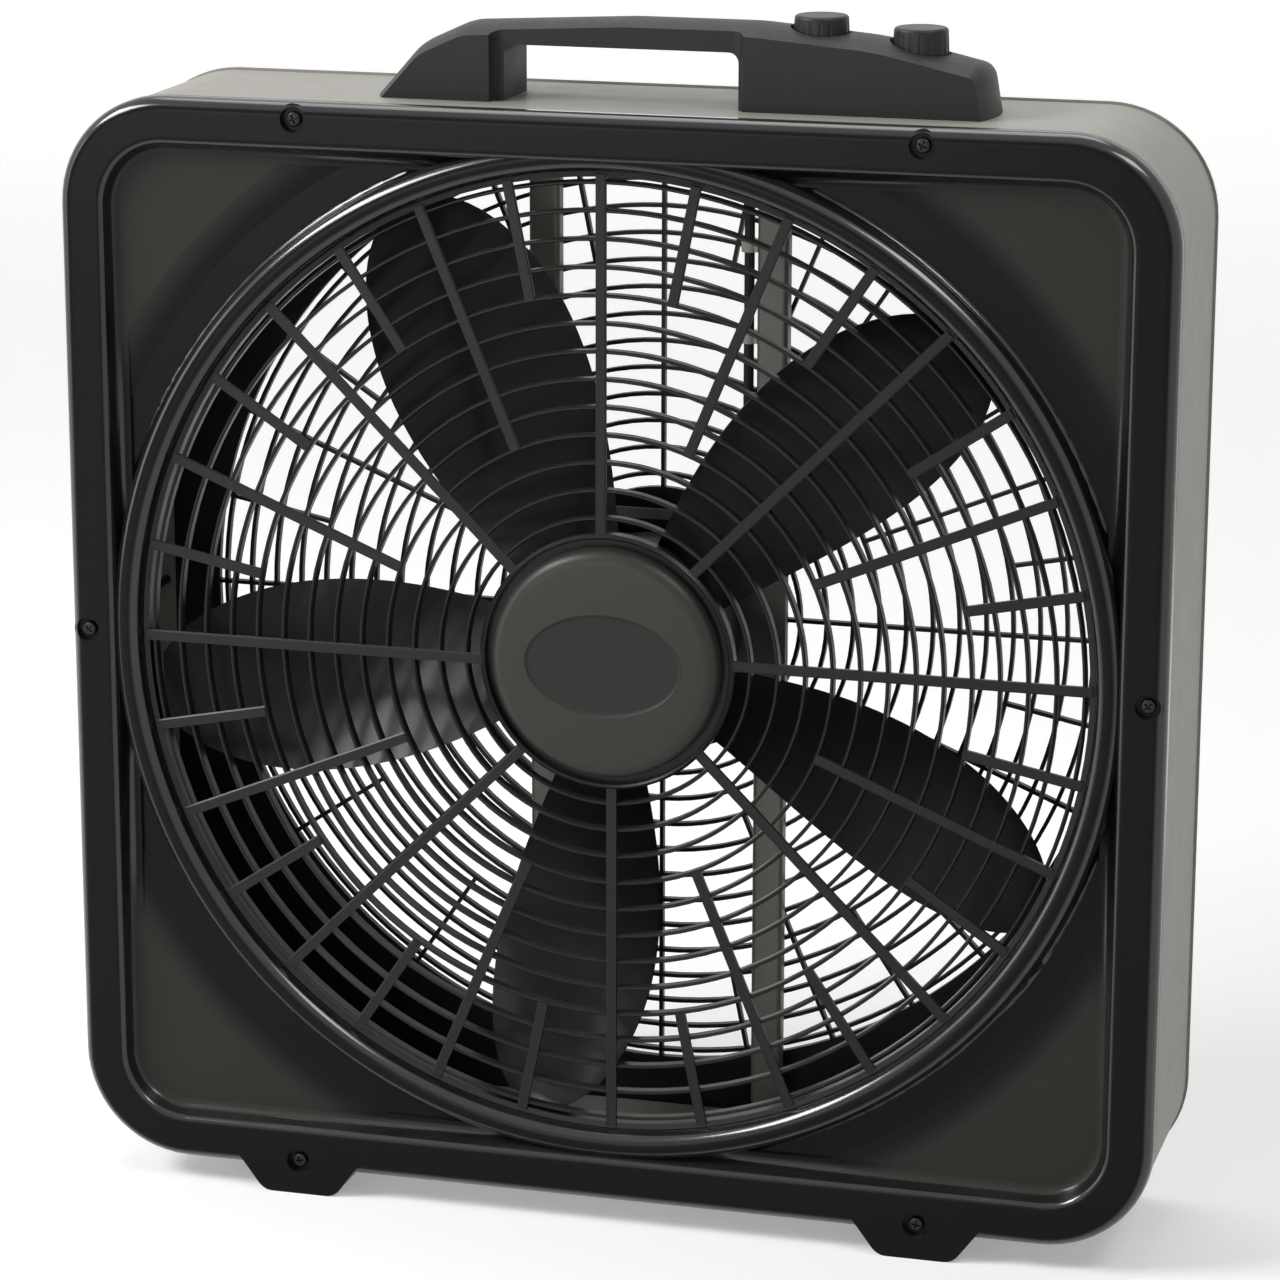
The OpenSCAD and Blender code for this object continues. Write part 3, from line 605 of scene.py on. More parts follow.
@dataclass(frozen=True)
class EdgedPlastic:
    """Black rear moulding whose rolled outer edge is painted like the steel band."""

    name: str
    moulding: Colour
    edge: Colour
    middle: tuple[float, float, float]
    straight_half: tuple[float, float, float]
    corner_radius: float
    edge_width: float
    blur: float = 0.3 * MM
    past_outline: Point = (-1.2 * MM, -0.4 * MM)
    moulding_drift: float = 1.5
    edge_drift: float = 1.15
    dust: float = 0.05
    roughness: Point = (0.4, 0.5)
    specular: float = 0.25
    waviness: float = 0.5

    def dress(self) -> bpy.types.Material:
        """Builds the material, with the edge told by its distance from the outline.

        Returns:
            The material.
        """
        sheet = Sheet(self.name)
        inside = sheet.group(
            OutlineDistance, Middle=self.middle, Straight_Half=self.straight_half,
            Corner_Radius=self.corner_radius,
        )["Inside"]
        painted = sheet.span(inside, self.edge_width + self.blur, self.edge_width - self.blur)
        square = sheet.span(inside, *self.past_outline)
        rolled = sheet.math("MULTIPLY", painted, square)
        black = sheet.tone(self.moulding, toned(self.moulding, self.moulding_drift))
        paint_tone = sheet.tone(self.edge, toned(self.edge, self.edge_drift))
        sheet.dusted(sheet.mix(rolled, black, paint_tone), self.dust)
        sheet.rough(sheet.grain(*Texture.SATIN.value, self.waviness), *self.roughness)
        sheet.shade(Specular_IOR_Level=self.specular)
        return sheet.material


@dataclass(frozen=True)
class MetallicPaint:
    """Satin paint with metal flakes over steel sheet."""

    name: str
    colour: Colour
    flake: Colour
    roughness: float
    metallic: float
    patches: float = 5.0
    flakes: float = 2600.0
    flake_share: float = 0.55
    grain: tuple[float, float, float] = (2400.0, 0.02 * MM, 1.2)
    uneven: Point = (0.92, 1.1)
    dust: float = 0.08
    specular: float = 0.35
    coat: float = 0.1
    coat_roughness: float = 0.25

    def dress(self) -> bpy.types.Material:
        """Builds the material.

        Returns:
            The material.
        """
        sheet = Sheet(self.name)
        tone = sheet.tone(
            self.colour, self.flake, Patch_Scale=self.patches, Speck_Scale=self.flakes,
            Speck_Share=self.flake_share,
        )
        sheet.dusted(tone, self.dust)
        mottle = sheet.grain(*self.grain)
        sheet.rough(mottle, *(self.roughness * share for share in self.uneven))
        sheet.shade(
            Metallic=self.metallic, Specular_IOR_Level=self.specular, Coat_Weight=self.coat,
            Coat_Roughness=self.coat_roughness,
        )
        return sheet.material


@dataclass(frozen=True)
class BareMetal:
    """Plated, rolled or turned metal with fine lines and slight staining."""

    name: str
    colour: Colour
    second: Colour
    roughness: float
    stretch: tuple[float, float, float] = (1.0, 1.0, 0.06)
    line_height: float = 0.01 * MM
    uneven: Point = (0.8, 1.25)
    stains: float = 40.0

    def dress(self) -> bpy.types.Material:
        """Builds the material.

        Returns:
            The material.
        """
        sheet = Sheet(self.name)
        lines = sheet.group(MetalLines, Stretch=self.stretch)["Height"]
        tone = sheet.tone(self.colour, self.second, Patch_Scale=self.stains)
        sheet.shade(Base_Color=tone, Metallic=1.0)
        sheet.rough(lines, *(self.roughness * share for share in self.uneven))
        sheet.bump(lines, self.line_height)
        return sheet.material


Finish = MouldedPlastic | PanelPlastic | EdgedPlastic | MetallicPaint | BareMetal

BLACK_SATIN = MouldedPlastic(
    "grille_black", (0.008, 0.008, 0.008), (0.012, 0.012, 0.0115), 0.3, specular=0.2
)
BADGE_CHARCOAL = MouldedPlastic(
    "badge_charcoal", (0.024, 0.0237, 0.0205), (0.03, 0.0296, 0.0257), 0.36, specular=0.24
)
HANDLE_CHARCOAL = MouldedPlastic(
    "handle_charcoal", (0.0125, 0.0128, 0.013), (0.018, 0.0184, 0.0186), 0.48,
    Texture.SPARK, dust=0.04, specular=0.2,
)
KNOB_CHARCOAL = MouldedPlastic(
    "knob_charcoal", (0.0135, 0.0138, 0.0142), (0.019, 0.0194, 0.0198), 0.42,
    dust=0.04, specular=0.24,
)
BLADE_GLOSS = MouldedPlastic(
    "blade_gloss_black", (0.004, 0.004, 0.004), (0.006, 0.006, 0.006), 0.3,
    Texture.POLISHED, dust=0.01, coat=0.06, specular=0.14,
)
SWITCH_CASE = MouldedPlastic("switch_cream", (0.5, 0.45, 0.35), (0.55, 0.5, 0.4), 0.5)
CAPACITOR_CASE = MouldedPlastic("capacitor_grey", (0.05, 0.05, 0.06), (0.07, 0.07, 0.08), 0.45)
INLET_RUBBER = MouldedPlastic(
    "inlet_rubber", (0.012, 0.012, 0.012), (0.018, 0.018, 0.018), 0.7, Texture.SPARK
)
CLIP_NYLON = MouldedPlastic(
    "clip_nylon", (0.6, 0.59, 0.54), (0.66, 0.65, 0.6), 0.45, Texture.POLISHED
)
GREIGE_PAINT = MetallicPaint(
    "greige_metallic_paint", (0.243, 0.233, 0.209), (0.285, 0.274, 0.247), 0.55, 0.2
)
STRUT_PAINT = MetallicPaint(
    "strut_metallic_paint", (0.2, 0.19, 0.17), (0.25, 0.24, 0.215), 0.5, 0.25
)
MOTOR_ENAMEL = MetallicPaint(
    "motor_enamel", (0.12, 0.12, 0.12), (0.18, 0.18, 0.175), 0.4, 0.6
)
BLACK_STEEL = BareMetal("screw_black", (0.02, 0.02, 0.02), (0.035, 0.035, 0.035), 0.38)
ZINC = BareMetal("zinc_plate", (0.52, 0.52, 0.5), (0.6, 0.59, 0.55), 0.34)
GROUND_STEEL = BareMetal("ground_steel", (0.55, 0.55, 0.55), (0.62, 0.62, 0.62), 0.24)
LAMINATION = BareMetal(
    "lamination_steel", (0.1, 0.1, 0.11), (0.16, 0.15, 0.15), 0.5, (0.05, 1.0, 0.05)
)
COPPER = BareMetal("copper_wire", (0.42, 0.17, 0.06), (0.52, 0.22, 0.09), 0.32, (0.1, 1.0, 0.1))
BRONZE = BareMetal("bush_bronze", (0.42, 0.28, 0.12), (0.48, 0.33, 0.16), 0.5)

# The nodes that keep their CAD shape, by finish, but for the front panel and the rear grille,
# whose finishes are sized in main().
NODE_FINISHES: dict[Finish, tuple[str, ...]] = {
    BLACK_SATIN: ("front_grille",),
    GREIGE_PAINT: ("housing_band",),
    BLACK_STEEL: ("rear_screws",),
    ZINC: (
        "handle_screws", "speed_shaft", "thermostat_shaft", "switch_nuts", "strut_screws",
        "plate_screws", "motor_bolts", "motor_nuts", "blade_clip",
    ),
    INLET_RUBBER: ("cord_inlet", "motor_lead"),
    KNOB_CHARCOAL: ("speed_knob", "thermostat_knob"),
    SWITCH_CASE: ("speed_switch", "thermostat"),
    CAPACITOR_CASE: ("capacitor",),
    STRUT_PAINT: ("left_strut", "right_strut", "motor_plate"),
    MOTOR_ENAMEL: ("front_motor_bell", "rear_motor_bell"),
    LAMINATION: ("stator_core", "rotor_core"),
    COPPER: ("stator_windings",),
    BRONZE: ("front_bush", "rear_bush"),
    CLIP_NYLON: ("lead_clips",),
    GROUND_STEEL: ("motor_shaft",),
}

# How deep the pans, the screws' seats and the badge's crown lie behind the panel's front, how far
# out the lip reaches, and how high above the panel's middle the camera looks.
PAN_DEPTH = 9 * MM
SCREW_SEAT = 3.5 * MM
BADGE_DEPTH = 1.5 * MM
LIP_RADIUS = 243 * MM
SIGHT_RISE = 6 * MM


# ---------------------------------------------------------------- mesh helpers


def finished(name: str, bm: bmesh.types.BMesh, sharp: float) -> bpy.types.Object:
    """Turns a bmesh into an object at the origin, shaded smooth with sharp creases.

    Args:
        name: The piece's name.
        bm: The mesh, which is freed.
        sharp: The angle in degrees above which an edge stays sharp.

    Returns:
        The object, in the scene.
    """
    bmesh.ops.remove_doubles(bm, verts=bm.verts, dist=SAME_PLACE)
    bmesh.ops.recalc_face_normals(bm, faces=bm.faces)
    mesh = bpy.data.meshes.new(name)
    bm.to_mesh(mesh)
    bm.free()
    mesh.shade_smooth()
    mesh.set_sharp_from_angle(angle=math.radians(sharp))
    made = bpy.data.objects.new(name, mesh)
    bpy.context.scene.collection.objects.link(made)
    return made


def paint(piece: bpy.types.Object, material: bpy.types.Material) -> None:
    """Gives a piece one material."""
    piece.data.materials.clear()
    piece.data.materials.append(material)


def arc(middle: Point, radius: float, start: float, end: float, steps: int) -> list[Point]:
    """Returns an arc's points, its angles in degrees from the lowest point to the right."""
    turns = (math.radians(start + (end - start) * k / steps) for k in range(steps + 1))
    return [(middle[0] + radius * math.sin(a), middle[1] - radius * math.cos(a)) for a in turns]


def spin_section(
    bm: bmesh.types.BMesh, outline: Sequence[Point], axis_height: float, steps: int
) -> None:
    """Spins a closed outline once round the fan axis.

    Args:
        bm: The mesh to add to.
        outline: The outline's points, as (distance from the axis, depth).
        axis_height: The axis's height.
        steps: How many parts the ring has.
    """
    verts = [bm.verts.new((x, y, axis_height)) for x, y in outline]
    edges = [bm.edges.new(pair) for pair in zip(verts, verts[1:] + verts[:1])]
    bmesh.ops.spin(
        bm, geom=verts + edges, cent=(0, 0, axis_height), axis=(0, 1, 0), dvec=(0, 0, 0),
        angle=FULL_TURN, steps=steps, use_merge=True, use_duplicate=False,
    )


def new_verts(made: dict[str, list]) -> list[bmesh.types.BMVert]:
    """Returns the vertices that an operator made."""
    return [g for g in made["geom"] if isinstance(g, bmesh.types.BMVert)]


def grow(
    bm: bmesh.types.BMesh, edges: list[bmesh.types.BMEdge]
) -> tuple[list[bmesh.types.BMVert], list[bmesh.types.BMEdge]]:
    """Extrudes an open edge loop where it lies.

    Args:
        bm: The mesh.
        edges: The loop.

    Returns:
        The new loop's vertices and edges.
    """
    made = bmesh.ops.extrude_edge_only(bm, edges=edges)
    fresh = [g for g in made["geom"] if isinstance(g, bmesh.types.BMEdge)]
    return new_verts(made), [e for e in fresh if e.is_boundary]


# ---------------------------------------------------------------- sub-assemblies


@dataclass
class LipBead:
    """The half-round bead of the air opening, spun smooth over the panel's own."""

    axis_height: float
    front: float
    inner_radius: float = 229.9 * MM
    width: float = 13.5 * MM
    crest: float = 1.0 * MM
    root: float = 2 * MM
    steps: int = 20
    parts: int = 256
    crease: float = 60.0

    def build(self, finish: PanelPlastic) -> bpy.types.Object:
        """Spins the bead's section about the fan axis.

        Args:
            finish: The front panel's finish.

        Returns:
            The piece.
        """
        r = self.width / 2
        centre, low = self.inner_radius + r, self.front + self.crest + r
        crest = arc((centre, low), r, -90, 90, self.steps)
        foot = low + self.root
        bm = bmesh.new()
        outline = [(centre - r, foot), *crest, (centre + r, foot)]
        spin_section(bm, outline, self.axis_height, self.parts)
        piece = finished("lip_bead", bm, self.crease)
        paint(piece, finish.dress())
        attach(piece, Body.HOUSING.value)
        return piece


@dataclass
class Badge:
    """The shallow domed disc in the middle of the front grille, with a bare sunk oval."""

    axis_height: float
    crown: float
    radius: float = 55 * MM
    edge: float = 7 * MM
    back: float = 10.5 * MM
    dome_radius: float = 1.2
    half_width: float = 38 * MM
    half_height: float = 24.5 * MM
    sunk: float = 1.1 * MM
    slope: float = 2.2 * MM
    segments: int = 128
    crease: float = 32.0
    middle_share: float = 0.02
    edge_steps: int = 7
    wall_share: float = 0.95
    # The rings up the oval's slope and out to the dome's edge, as shares of the way.
    slope_steps: tuple[float, ...] = (0.35, 0.7, 0.9, 1.0, 1.06)
    slope_depths: tuple[float, ...] = (0.98, 0.62, 0.34)
    dome_steps: tuple[float, ...] = (0.12, 0.35, 0.65, 1.0)

    def ring(
        self, bm: bmesh.types.BMesh, edges: list[bmesh.types.BMEdge], scale: Point,
        drop: float | None,
    ) -> list[bmesh.types.BMEdge]:
        """Grows the open edge outwards by one ring.

        Args:
            bm: The mesh.
            edges: The open edge loop.
            scale: How much wider and taller the new ring is.
            drop: The new ring's depth under the crown, or None to lie on the dome.

        Returns:
            The new open edge loop.
        """
        verts, loop = grow(bm, edges)
        bmesh.ops.scale(bm, verts=verts, vec=(scale[0], 1.0, scale[1]))
        for v in verts:
            v.co.y = (v.co.x**2 + v.co.z**2) / (2 * self.dome_radius) if drop is None else drop
        return loop

    def oval_floor(self, bm: bmesh.types.BMesh, size: Point) -> list[bmesh.types.BMEdge]:
        """Lays the oval's floor with a small face in its middle.

        Args:
            bm: The mesh.
            size: The floor's half width and half height.

        Returns:
            The floor's open edge loop.
        """
        bmesh.ops.create_circle(
            bm, cap_ends=False, segments=self.segments, radius=1.0, matrix=FACE_FRONT
        )
        bmesh.ops.scale(bm, verts=bm.verts, vec=(size[0], 1.0, size[1]))
        loop = bm.edges[:]
        inner = bmesh.ops.extrude_edge_only(bm, edges=loop)
        verts = new_verts(inner)
        bmesh.ops.scale(bm, verts=verts, vec=(self.middle_share, 1.0, self.middle_share))
        fresh = [g for g in inner["geom"] if isinstance(g, bmesh.types.BMEdge)]
        middle = [e for e in fresh if all(v in verts for v in e.verts)]
        bmesh.ops.contextual_create(bm, geom=middle)
        bmesh.ops.translate(bm, verts=bm.verts, vec=(0, self.sunk, 0))
        return loop

    def build(self) -> bpy.types.Object:
        """Builds the badge from its oval floor outwards.

        Returns:
            The piece.
        """
        bm = bmesh.new()
        w, h = self.half_width - self.slope, self.half_height - self.slope
        loop = self.oval_floor(bm, (w, h))
        sizes = [(w, h)]
        sizes += [(w + self.slope * share, h + self.slope * share) for share in self.slope_steps]
        flat = self.radius - self.edge
        w, h = sizes[-1]
        sizes += [(w + (flat - w) * share, h + (flat - h) * share) for share in self.dome_steps]
        depths: list[float | None] = [share * self.sunk for share in self.slope_depths]
        depths += [None] * (len(sizes) - 1 - len(depths))
        for (w0, h0), (w1, h1), drop in zip(sizes, sizes[1:], depths):
            loop = self.ring(bm, loop, (w1 / w0, h1 / h0), drop)
        size, start = flat, flat * flat / (2 * self.dome_radius)
        for k in range(1, self.edge_steps + 1):
            a = math.radians(90 * k / self.edge_steps)
            wider = flat + self.edge * math.sin(a)
            deep = start + (self.edge - start) * (1 - math.cos(a))
            loop = self.ring(bm, loop, (wider / size, wider / size), deep)
            size = wider
        for share, deep in ((1.0, self.back), (self.wall_share, self.back), (1.0, self.edge)):
            loop = self.ring(bm, loop, (share, share), deep)
        bmesh.ops.holes_fill(bm, edges=loop, sides=0)
        bmesh.ops.translate(bm, verts=bm.verts, vec=(0, self.crown, self.axis_height))
        piece = finished("badge_disc", bm, self.crease)
        finish = BadgePlastic(
            BADGE_CHARCOAL, self.axis_height, self.half_width, self.half_height
        )
        paint(piece, finish.dress())
        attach(piece, Body.HOUSING.value)
        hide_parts("centre_badge")
        return piece


@dataclass
class CrossScrews:
    """Round-headed front screws with a cross recess, standing for the plain CAD screws."""

    places: Sequence[Point]
    seat: float
    length: float = 16 * MM
    head_height: float = 2.2 * MM
    shank_radius: float = 1.95 * MM
    recess_radius: float = 2.1 * MM
    recess_depth: float = 1.3 * MM
    recess_taper: float = 0.55
    slot_half: float = 0.42 * MM
    tip_share: float = 0.1
    twist: float = 40.0
    segments: int = 32
    crease: float = 35.0
    # The head's rings, as (share of the recess's radius, depth under its face).
    head: tuple[Point, ...] = (
        (1.35, 0.12 * MM), (1.6, 0.5 * MM), (1.714, 1.15 * MM), (1.714, 2.2 * MM),
    )

    def cut_recess(self, bm: bmesh.types.BMesh) -> None:
        """Makes a disc and sinks a cross into it.

        Args:
            bm: The mesh, still empty.
        """
        bmesh.ops.create_circle(
            bm, cap_ends=True, segments=self.segments, radius=self.recess_radius
        )
        for normal in ((1, 0, 0), (0, 1, 0)):
            for side in (-1, 1):
                bmesh.ops.bisect_plane(
                    bm, geom=bm.verts[:] + bm.edges[:] + bm.faces[:],
                    plane_co=[side * self.slot_half * n for n in normal], plane_no=normal,
                )
        middles = ((f, f.calc_center_median()) for f in bm.faces)
        cross = [f for f, mid in middles if min(abs(mid.x), abs(mid.y)) < self.slot_half]
        floor = new_verts(bmesh.ops.extrude_face_region(bm, geom=cross))
        bmesh.ops.delete(bm, geom=cross, context="FACES")
        bmesh.ops.scale(bm, verts=floor, vec=(self.recess_taper, self.recess_taper, 1.0))
        bmesh.ops.translate(bm, verts=floor, vec=(0, 0, -self.recess_depth))

    def add_screw(self, bm: bmesh.types.BMesh, x: float, z: float) -> None:
        """Shapes one screw: the cut disc, a rounded head round it and a shank.

        Args:
            bm: The mesh to add to.
            x: The screw's place across.
            z: The screw's height.
        """
        one = bmesh.new()
        self.cut_recess(one)
        rim = [e for e in one.edges if e.is_boundary]
        shank, tip = self.shank_radius / self.recess_radius, self.head_height + self.length
        neck = (shank, self.head_height)
        size, level = 1.0, 0.0
        for wider, deep in (*self.head, neck, (shank, tip), (self.tip_share, tip)):
            ring, rim = grow(one, rim)
            step = wider / size
            bmesh.ops.scale(one, verts=ring, vec=(step, step, 1.0))
            bmesh.ops.translate(one, verts=ring, vec=(0, 0, level - deep))
            size, level = wider, deep
        bmesh.ops.holes_fill(one, edges=rim, sides=0)
        place = Matrix.Translation((x, self.seat - self.head_height, z))
        turned = place @ FACE_FRONT @ Matrix.Rotation(x * self.twist, 4, "Z")
        bmesh.ops.transform(one, matrix=turned, verts=one.verts)
        mesh = bpy.data.meshes.new("screw")
        one.to_mesh(mesh)
        one.free()
        bm.from_mesh(mesh)
        bpy.data.meshes.remove(mesh)

    def build(self, finish: BareMetal) -> bpy.types.Object:
        """Builds all the screws as one piece.

        Args:
            finish: The screws' finish.

        Returns:
            The piece.
        """
        bm = bmesh.new()
        for x, z in self.places:
            self.add_screw(bm, x, z)
        piece = finished("front_cross_screws", bm, self.crease)
        paint(piece, finish.dress())
        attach(piece, Body.HOUSING.value)
        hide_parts("front_screws")
        return piece


@dataclass
class Rotor:
    """Five pitched petal blades on a hub cup, sized as the CAD rotor is."""

    centre: Vector
    hub_radius: float = 44 * MM
    hub_front: float = 20 * MM
    hub_back: float = 45 * MM
    hub_wall: float = 2.5 * MM
    hub_corner: float = 7 * MM
    hub_chamfer: float = 0.6 * MM
    hub_parts: int = 96
    corner_steps: int = 8
    hollow_steps: int = 6
    groove: Point = (9 * MM, 14 * MM)
    groove_flank: float = 1 * MM
    groove_depth: float = 0.6 * MM
    bore: float = 4 * MM
    boss_wall: float = 6.5 * MM
    boss_length: float = 22 * MM
    root_lap: float = 1.5 * MM
    tip_radius: float = 229 * MM
    blade_front: float = 22.5 * MM
    blades: int = 5
    phase: float = 44.0
    root_chord: float = 42 * MM
    full_chord: float = 94 * MM
    widest: float = 0.6
    swell: float = 150.0
    tip_rounding: float = 0.42
    root_pitch: float = 33.0
    tip_pitch: float = 17.0
    camber: float = 0.055
    camber_lead: float = 0.2
    half_edge: float = 0.5 * MM
    half_middle: float = 0.8 * MM
    thinning: Point = (1.2, 0.5)
    sweep: Point = (16 * MM, 7 * MM)
    stations: int = 44
    strips: int = 20
    crease: float = 40.0

    def chord(self, t: float) -> float:
        """Returns the blade's chord at t, from 0 at the root to 1 at the tip.

        Args:
            t: How far out the place lies.

        Returns:
            The chord, which swells to its full size and rounds off to the tip.
        """
        if t < self.widest:
            swollen = math.sin(math.radians(self.swell * t))
            return self.root_chord + (self.full_chord - self.root_chord) * swollen
        return self.full_chord * math.sqrt(1 - ((t - self.widest) / self.tip_rounding) ** 2)

    def skin(self, t: float, u: float, side: int) -> Vector:
        """Finds a point on the skin of the first blade.

        Args:
            t: From 0 at the root to 1 at the tip.
            u: From -0.5 at the trailing edge to 0.5 at the leading edge.
            side: -1 for the front skin and 1 for the back skin.

        Returns:
            The point, measured from the fan axis at the front face.
        """
        root = self.hub_radius - self.root_lap
        radius = root + (self.tip_radius - root) * t
        chord = self.chord(t)
        pitch = math.radians(self.root_pitch + (self.tip_pitch - self.root_pitch) * t)
        bow = 1 - 4 * u * u
        half = self.half_edge + self.half_middle * bow * (self.thinning[0] - self.thinning[1] * t)
        lift = self.camber * chord * bow + side * half
        swept = self.sweep[0] * t * t - self.sweep[1] * t
        along = swept + chord * u * math.cos(pitch) - lift * math.sin(pitch)
        back = (
            self.blade_front + chord * (u + 0.5) * math.sin(pitch)
            + lift * math.cos(pitch) - self.camber * chord * self.camber_lead
        )
        turn = along / radius
        return Vector((radius * math.sin(turn), back, radius * math.cos(turn)))

    def add_blade(self, bm: bmesh.types.BMesh, turn: float) -> None:
        """Shapes one blade from a thin slab of grid squares.

        Args:
            bm: The mesh to add to.
            turn: The blade's angle about the fan axis, in radians.
        """
        grid = bmesh.ops.create_grid(
            bm, x_segments=self.stations, y_segments=self.strips, size=0.5
        )
        faces = list({f for v in grid["verts"] for f in v.link_faces})
        moved = new_verts(bmesh.ops.extrude_face_region(bm, geom=faces, use_keep_orig=True))
        for verts, side in ((grid["verts"], -1), (moved, 1)):
            for v in verts:
                v.co = self.skin(v.co.x + 0.5, math.sin(math.pi * v.co.y) / 2, side)
        bmesh.ops.rotate(
            bm, verts=list(grid["verts"]) + moved, cent=(0, 0, 0),
            matrix=Matrix.Rotation(turn, 3, "Y"),
        )

    def add_hub(self, bm: bmesh.types.BMesh) -> None:
        """Spins the hub cup, its rounded and grooved front, and the boss on the shaft.

        Args:
            bm: The mesh to add to.
        """
        r, front, back = self.hub_radius, self.hub_front, self.hub_back
        wall, corner, cut = self.hub_wall, self.hub_corner, self.hub_chamfer
        near, far = (self.bore + edge for edge in self.groove)
        low, flank = front + self.groove_depth, self.groove_flank
        boss, end = self.bore + self.boss_wall, front + self.boss_length
        hollow, inside = corner - wall, r - wall
        outline = [
            (self.bore, front), (near - flank, front), (near, low), (far, low),
            (far + flank, front),
            *arc((r - corner, front + corner), corner, 0, 90, self.corner_steps),
            (r, back - cut), (r - cut, back), (inside, back),
            *arc((inside - hollow, front + wall + hollow), hollow, 90, 0, self.hollow_steps),
            (boss, front + wall), (boss, end), (self.bore, end),
        ]
        spin_section(bm, outline, 0.0, self.hub_parts)

    def build(self) -> bpy.types.Object:
        """Builds the rotor and lets it stand for the CAD rotor.

        Returns:
            The piece.
        """
        bm = bmesh.new()
        for i in range(self.blades):
            self.add_blade(bm, math.radians(self.phase + i * 360 / self.blades))
        self.add_hub(bm)
        bmesh.ops.translate(bm, verts=bm.verts, vec=self.centre)
        piece = finished("fan_rotor", bm, self.crease)
        paint(piece, BLADE_GLOSS.dress())
        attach(piece, Body.FAN.value)
        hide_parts("fan_blade")
        return piece


@dataclass
class Handle:
    """The moulded handle with the control box, smoothed along its crown."""

    crease: float = 24.0
    flat: float = 0.3
    hollow_half: float = 20.5 * MM
    waist_half: float = 18 * MM
    slits: tuple[Point, ...] = ((-63 * MM, -59.5 * MM), (57 * MM, 56.5 * MM))
    slit_height: float = 28.5 * MM
    past_slit: Point = (1.5 * MM, 0.5 * MM)
    wall: float = 2 * MM
    lap: float = 0.05 * MM

    def close_waist(self, bm: bmesh.types.BMesh) -> None:
        """Closes the slits that the slim waist opens in the two hollow ends.

        Args:
            bm: The handle's mesh.
        """
        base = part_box("handle")[0].z + self.lap
        outer, inner = self.hollow_half + self.lap, self.waist_half - self.lap
        for end, start in self.slits:
            away = math.copysign(1.0, end)
            far, near = end + self.past_slit[0] * away, end + self.lap * away
            close, deep = start - self.past_slit[1] * away, self.waist_half - self.wall
            outline = (
                (far, outer), (near, outer), (near, inner), (close, inner), (close, deep),
                (far, deep),
            )
            for side in (-1, 1):
                foot = bm.faces.new([bm.verts.new((x, side * y, base)) for x, y in outline])
                made = bmesh.ops.extrude_face_region(bm, geom=[foot], use_keep_orig=True)
                bmesh.ops.translate(bm, verts=new_verts(made), vec=(0, 0, self.slit_height))

    def build(self) -> bpy.types.Object:
        """Joins a copy of the CAD handle's loose triangles and evens out its shading.

        Returns:
            The piece.
        """
        bm = bmesh.new()
        bm.from_mesh(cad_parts["handle"].data)
        bmesh.ops.remove_doubles(bm, verts=bm.verts, dist=SAME_PLACE)
        bmesh.ops.dissolve_limit(
            bm, angle_limit=math.radians(self.flat), verts=bm.verts, edges=bm.edges
        )
        self.close_waist(bm)
        piece = finished("handle_moulding", bm, self.crease)
        weighted = piece.modifiers.new("weighted", "WEIGHTED_NORMAL")
        weighted.keep_sharp = True
        paint(piece, HANDLE_CHARCOAL.dress())
        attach(piece, Body.HOUSING.value)
        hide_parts("handle")
        return piece


@dataclass
class Dressing:
    """Gives every CAD node that stays its finish."""

    finishes: dict[Finish, tuple[str, ...]]

    def apply(self) -> None:
        """Paints the nodes of each finish."""
        for finish, nodes in self.finishes.items():
            material = finish.dress()
            for node in nodes:
                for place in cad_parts[node].material_slots:
                    place.link = "OBJECT"
                    place.material = material
                LOG.info("%s is dressed in %s", node, finish.name)


# ---------------------------------------------------------------- light, floor, camera


@dataclass(frozen=True)
class Lamp:
    """A soft rectangular lamp: where it hangs, what it faces, its size in metres and its watts."""

    name: str
    place: tuple[float, float, float]
    aim: tuple[float, float, float]
    size: Point
    power: float

    def hang(self) -> None:
        """Adds the lamp to the scene."""
        data = bpy.data.lights.new(self.name, "AREA")
        data.shape = "RECTANGLE"
        data.size, data.size_y = self.size
        data.energy = self.power
        lamp = bpy.data.objects.new(self.name, data)
        lamp.location = self.place
        sight = Vector(self.aim) - Vector(self.place)
        lamp.rotation_euler = sight.to_track_quat("-Z", "Y").to_euler()
        bpy.context.scene.collection.objects.link(lamp)


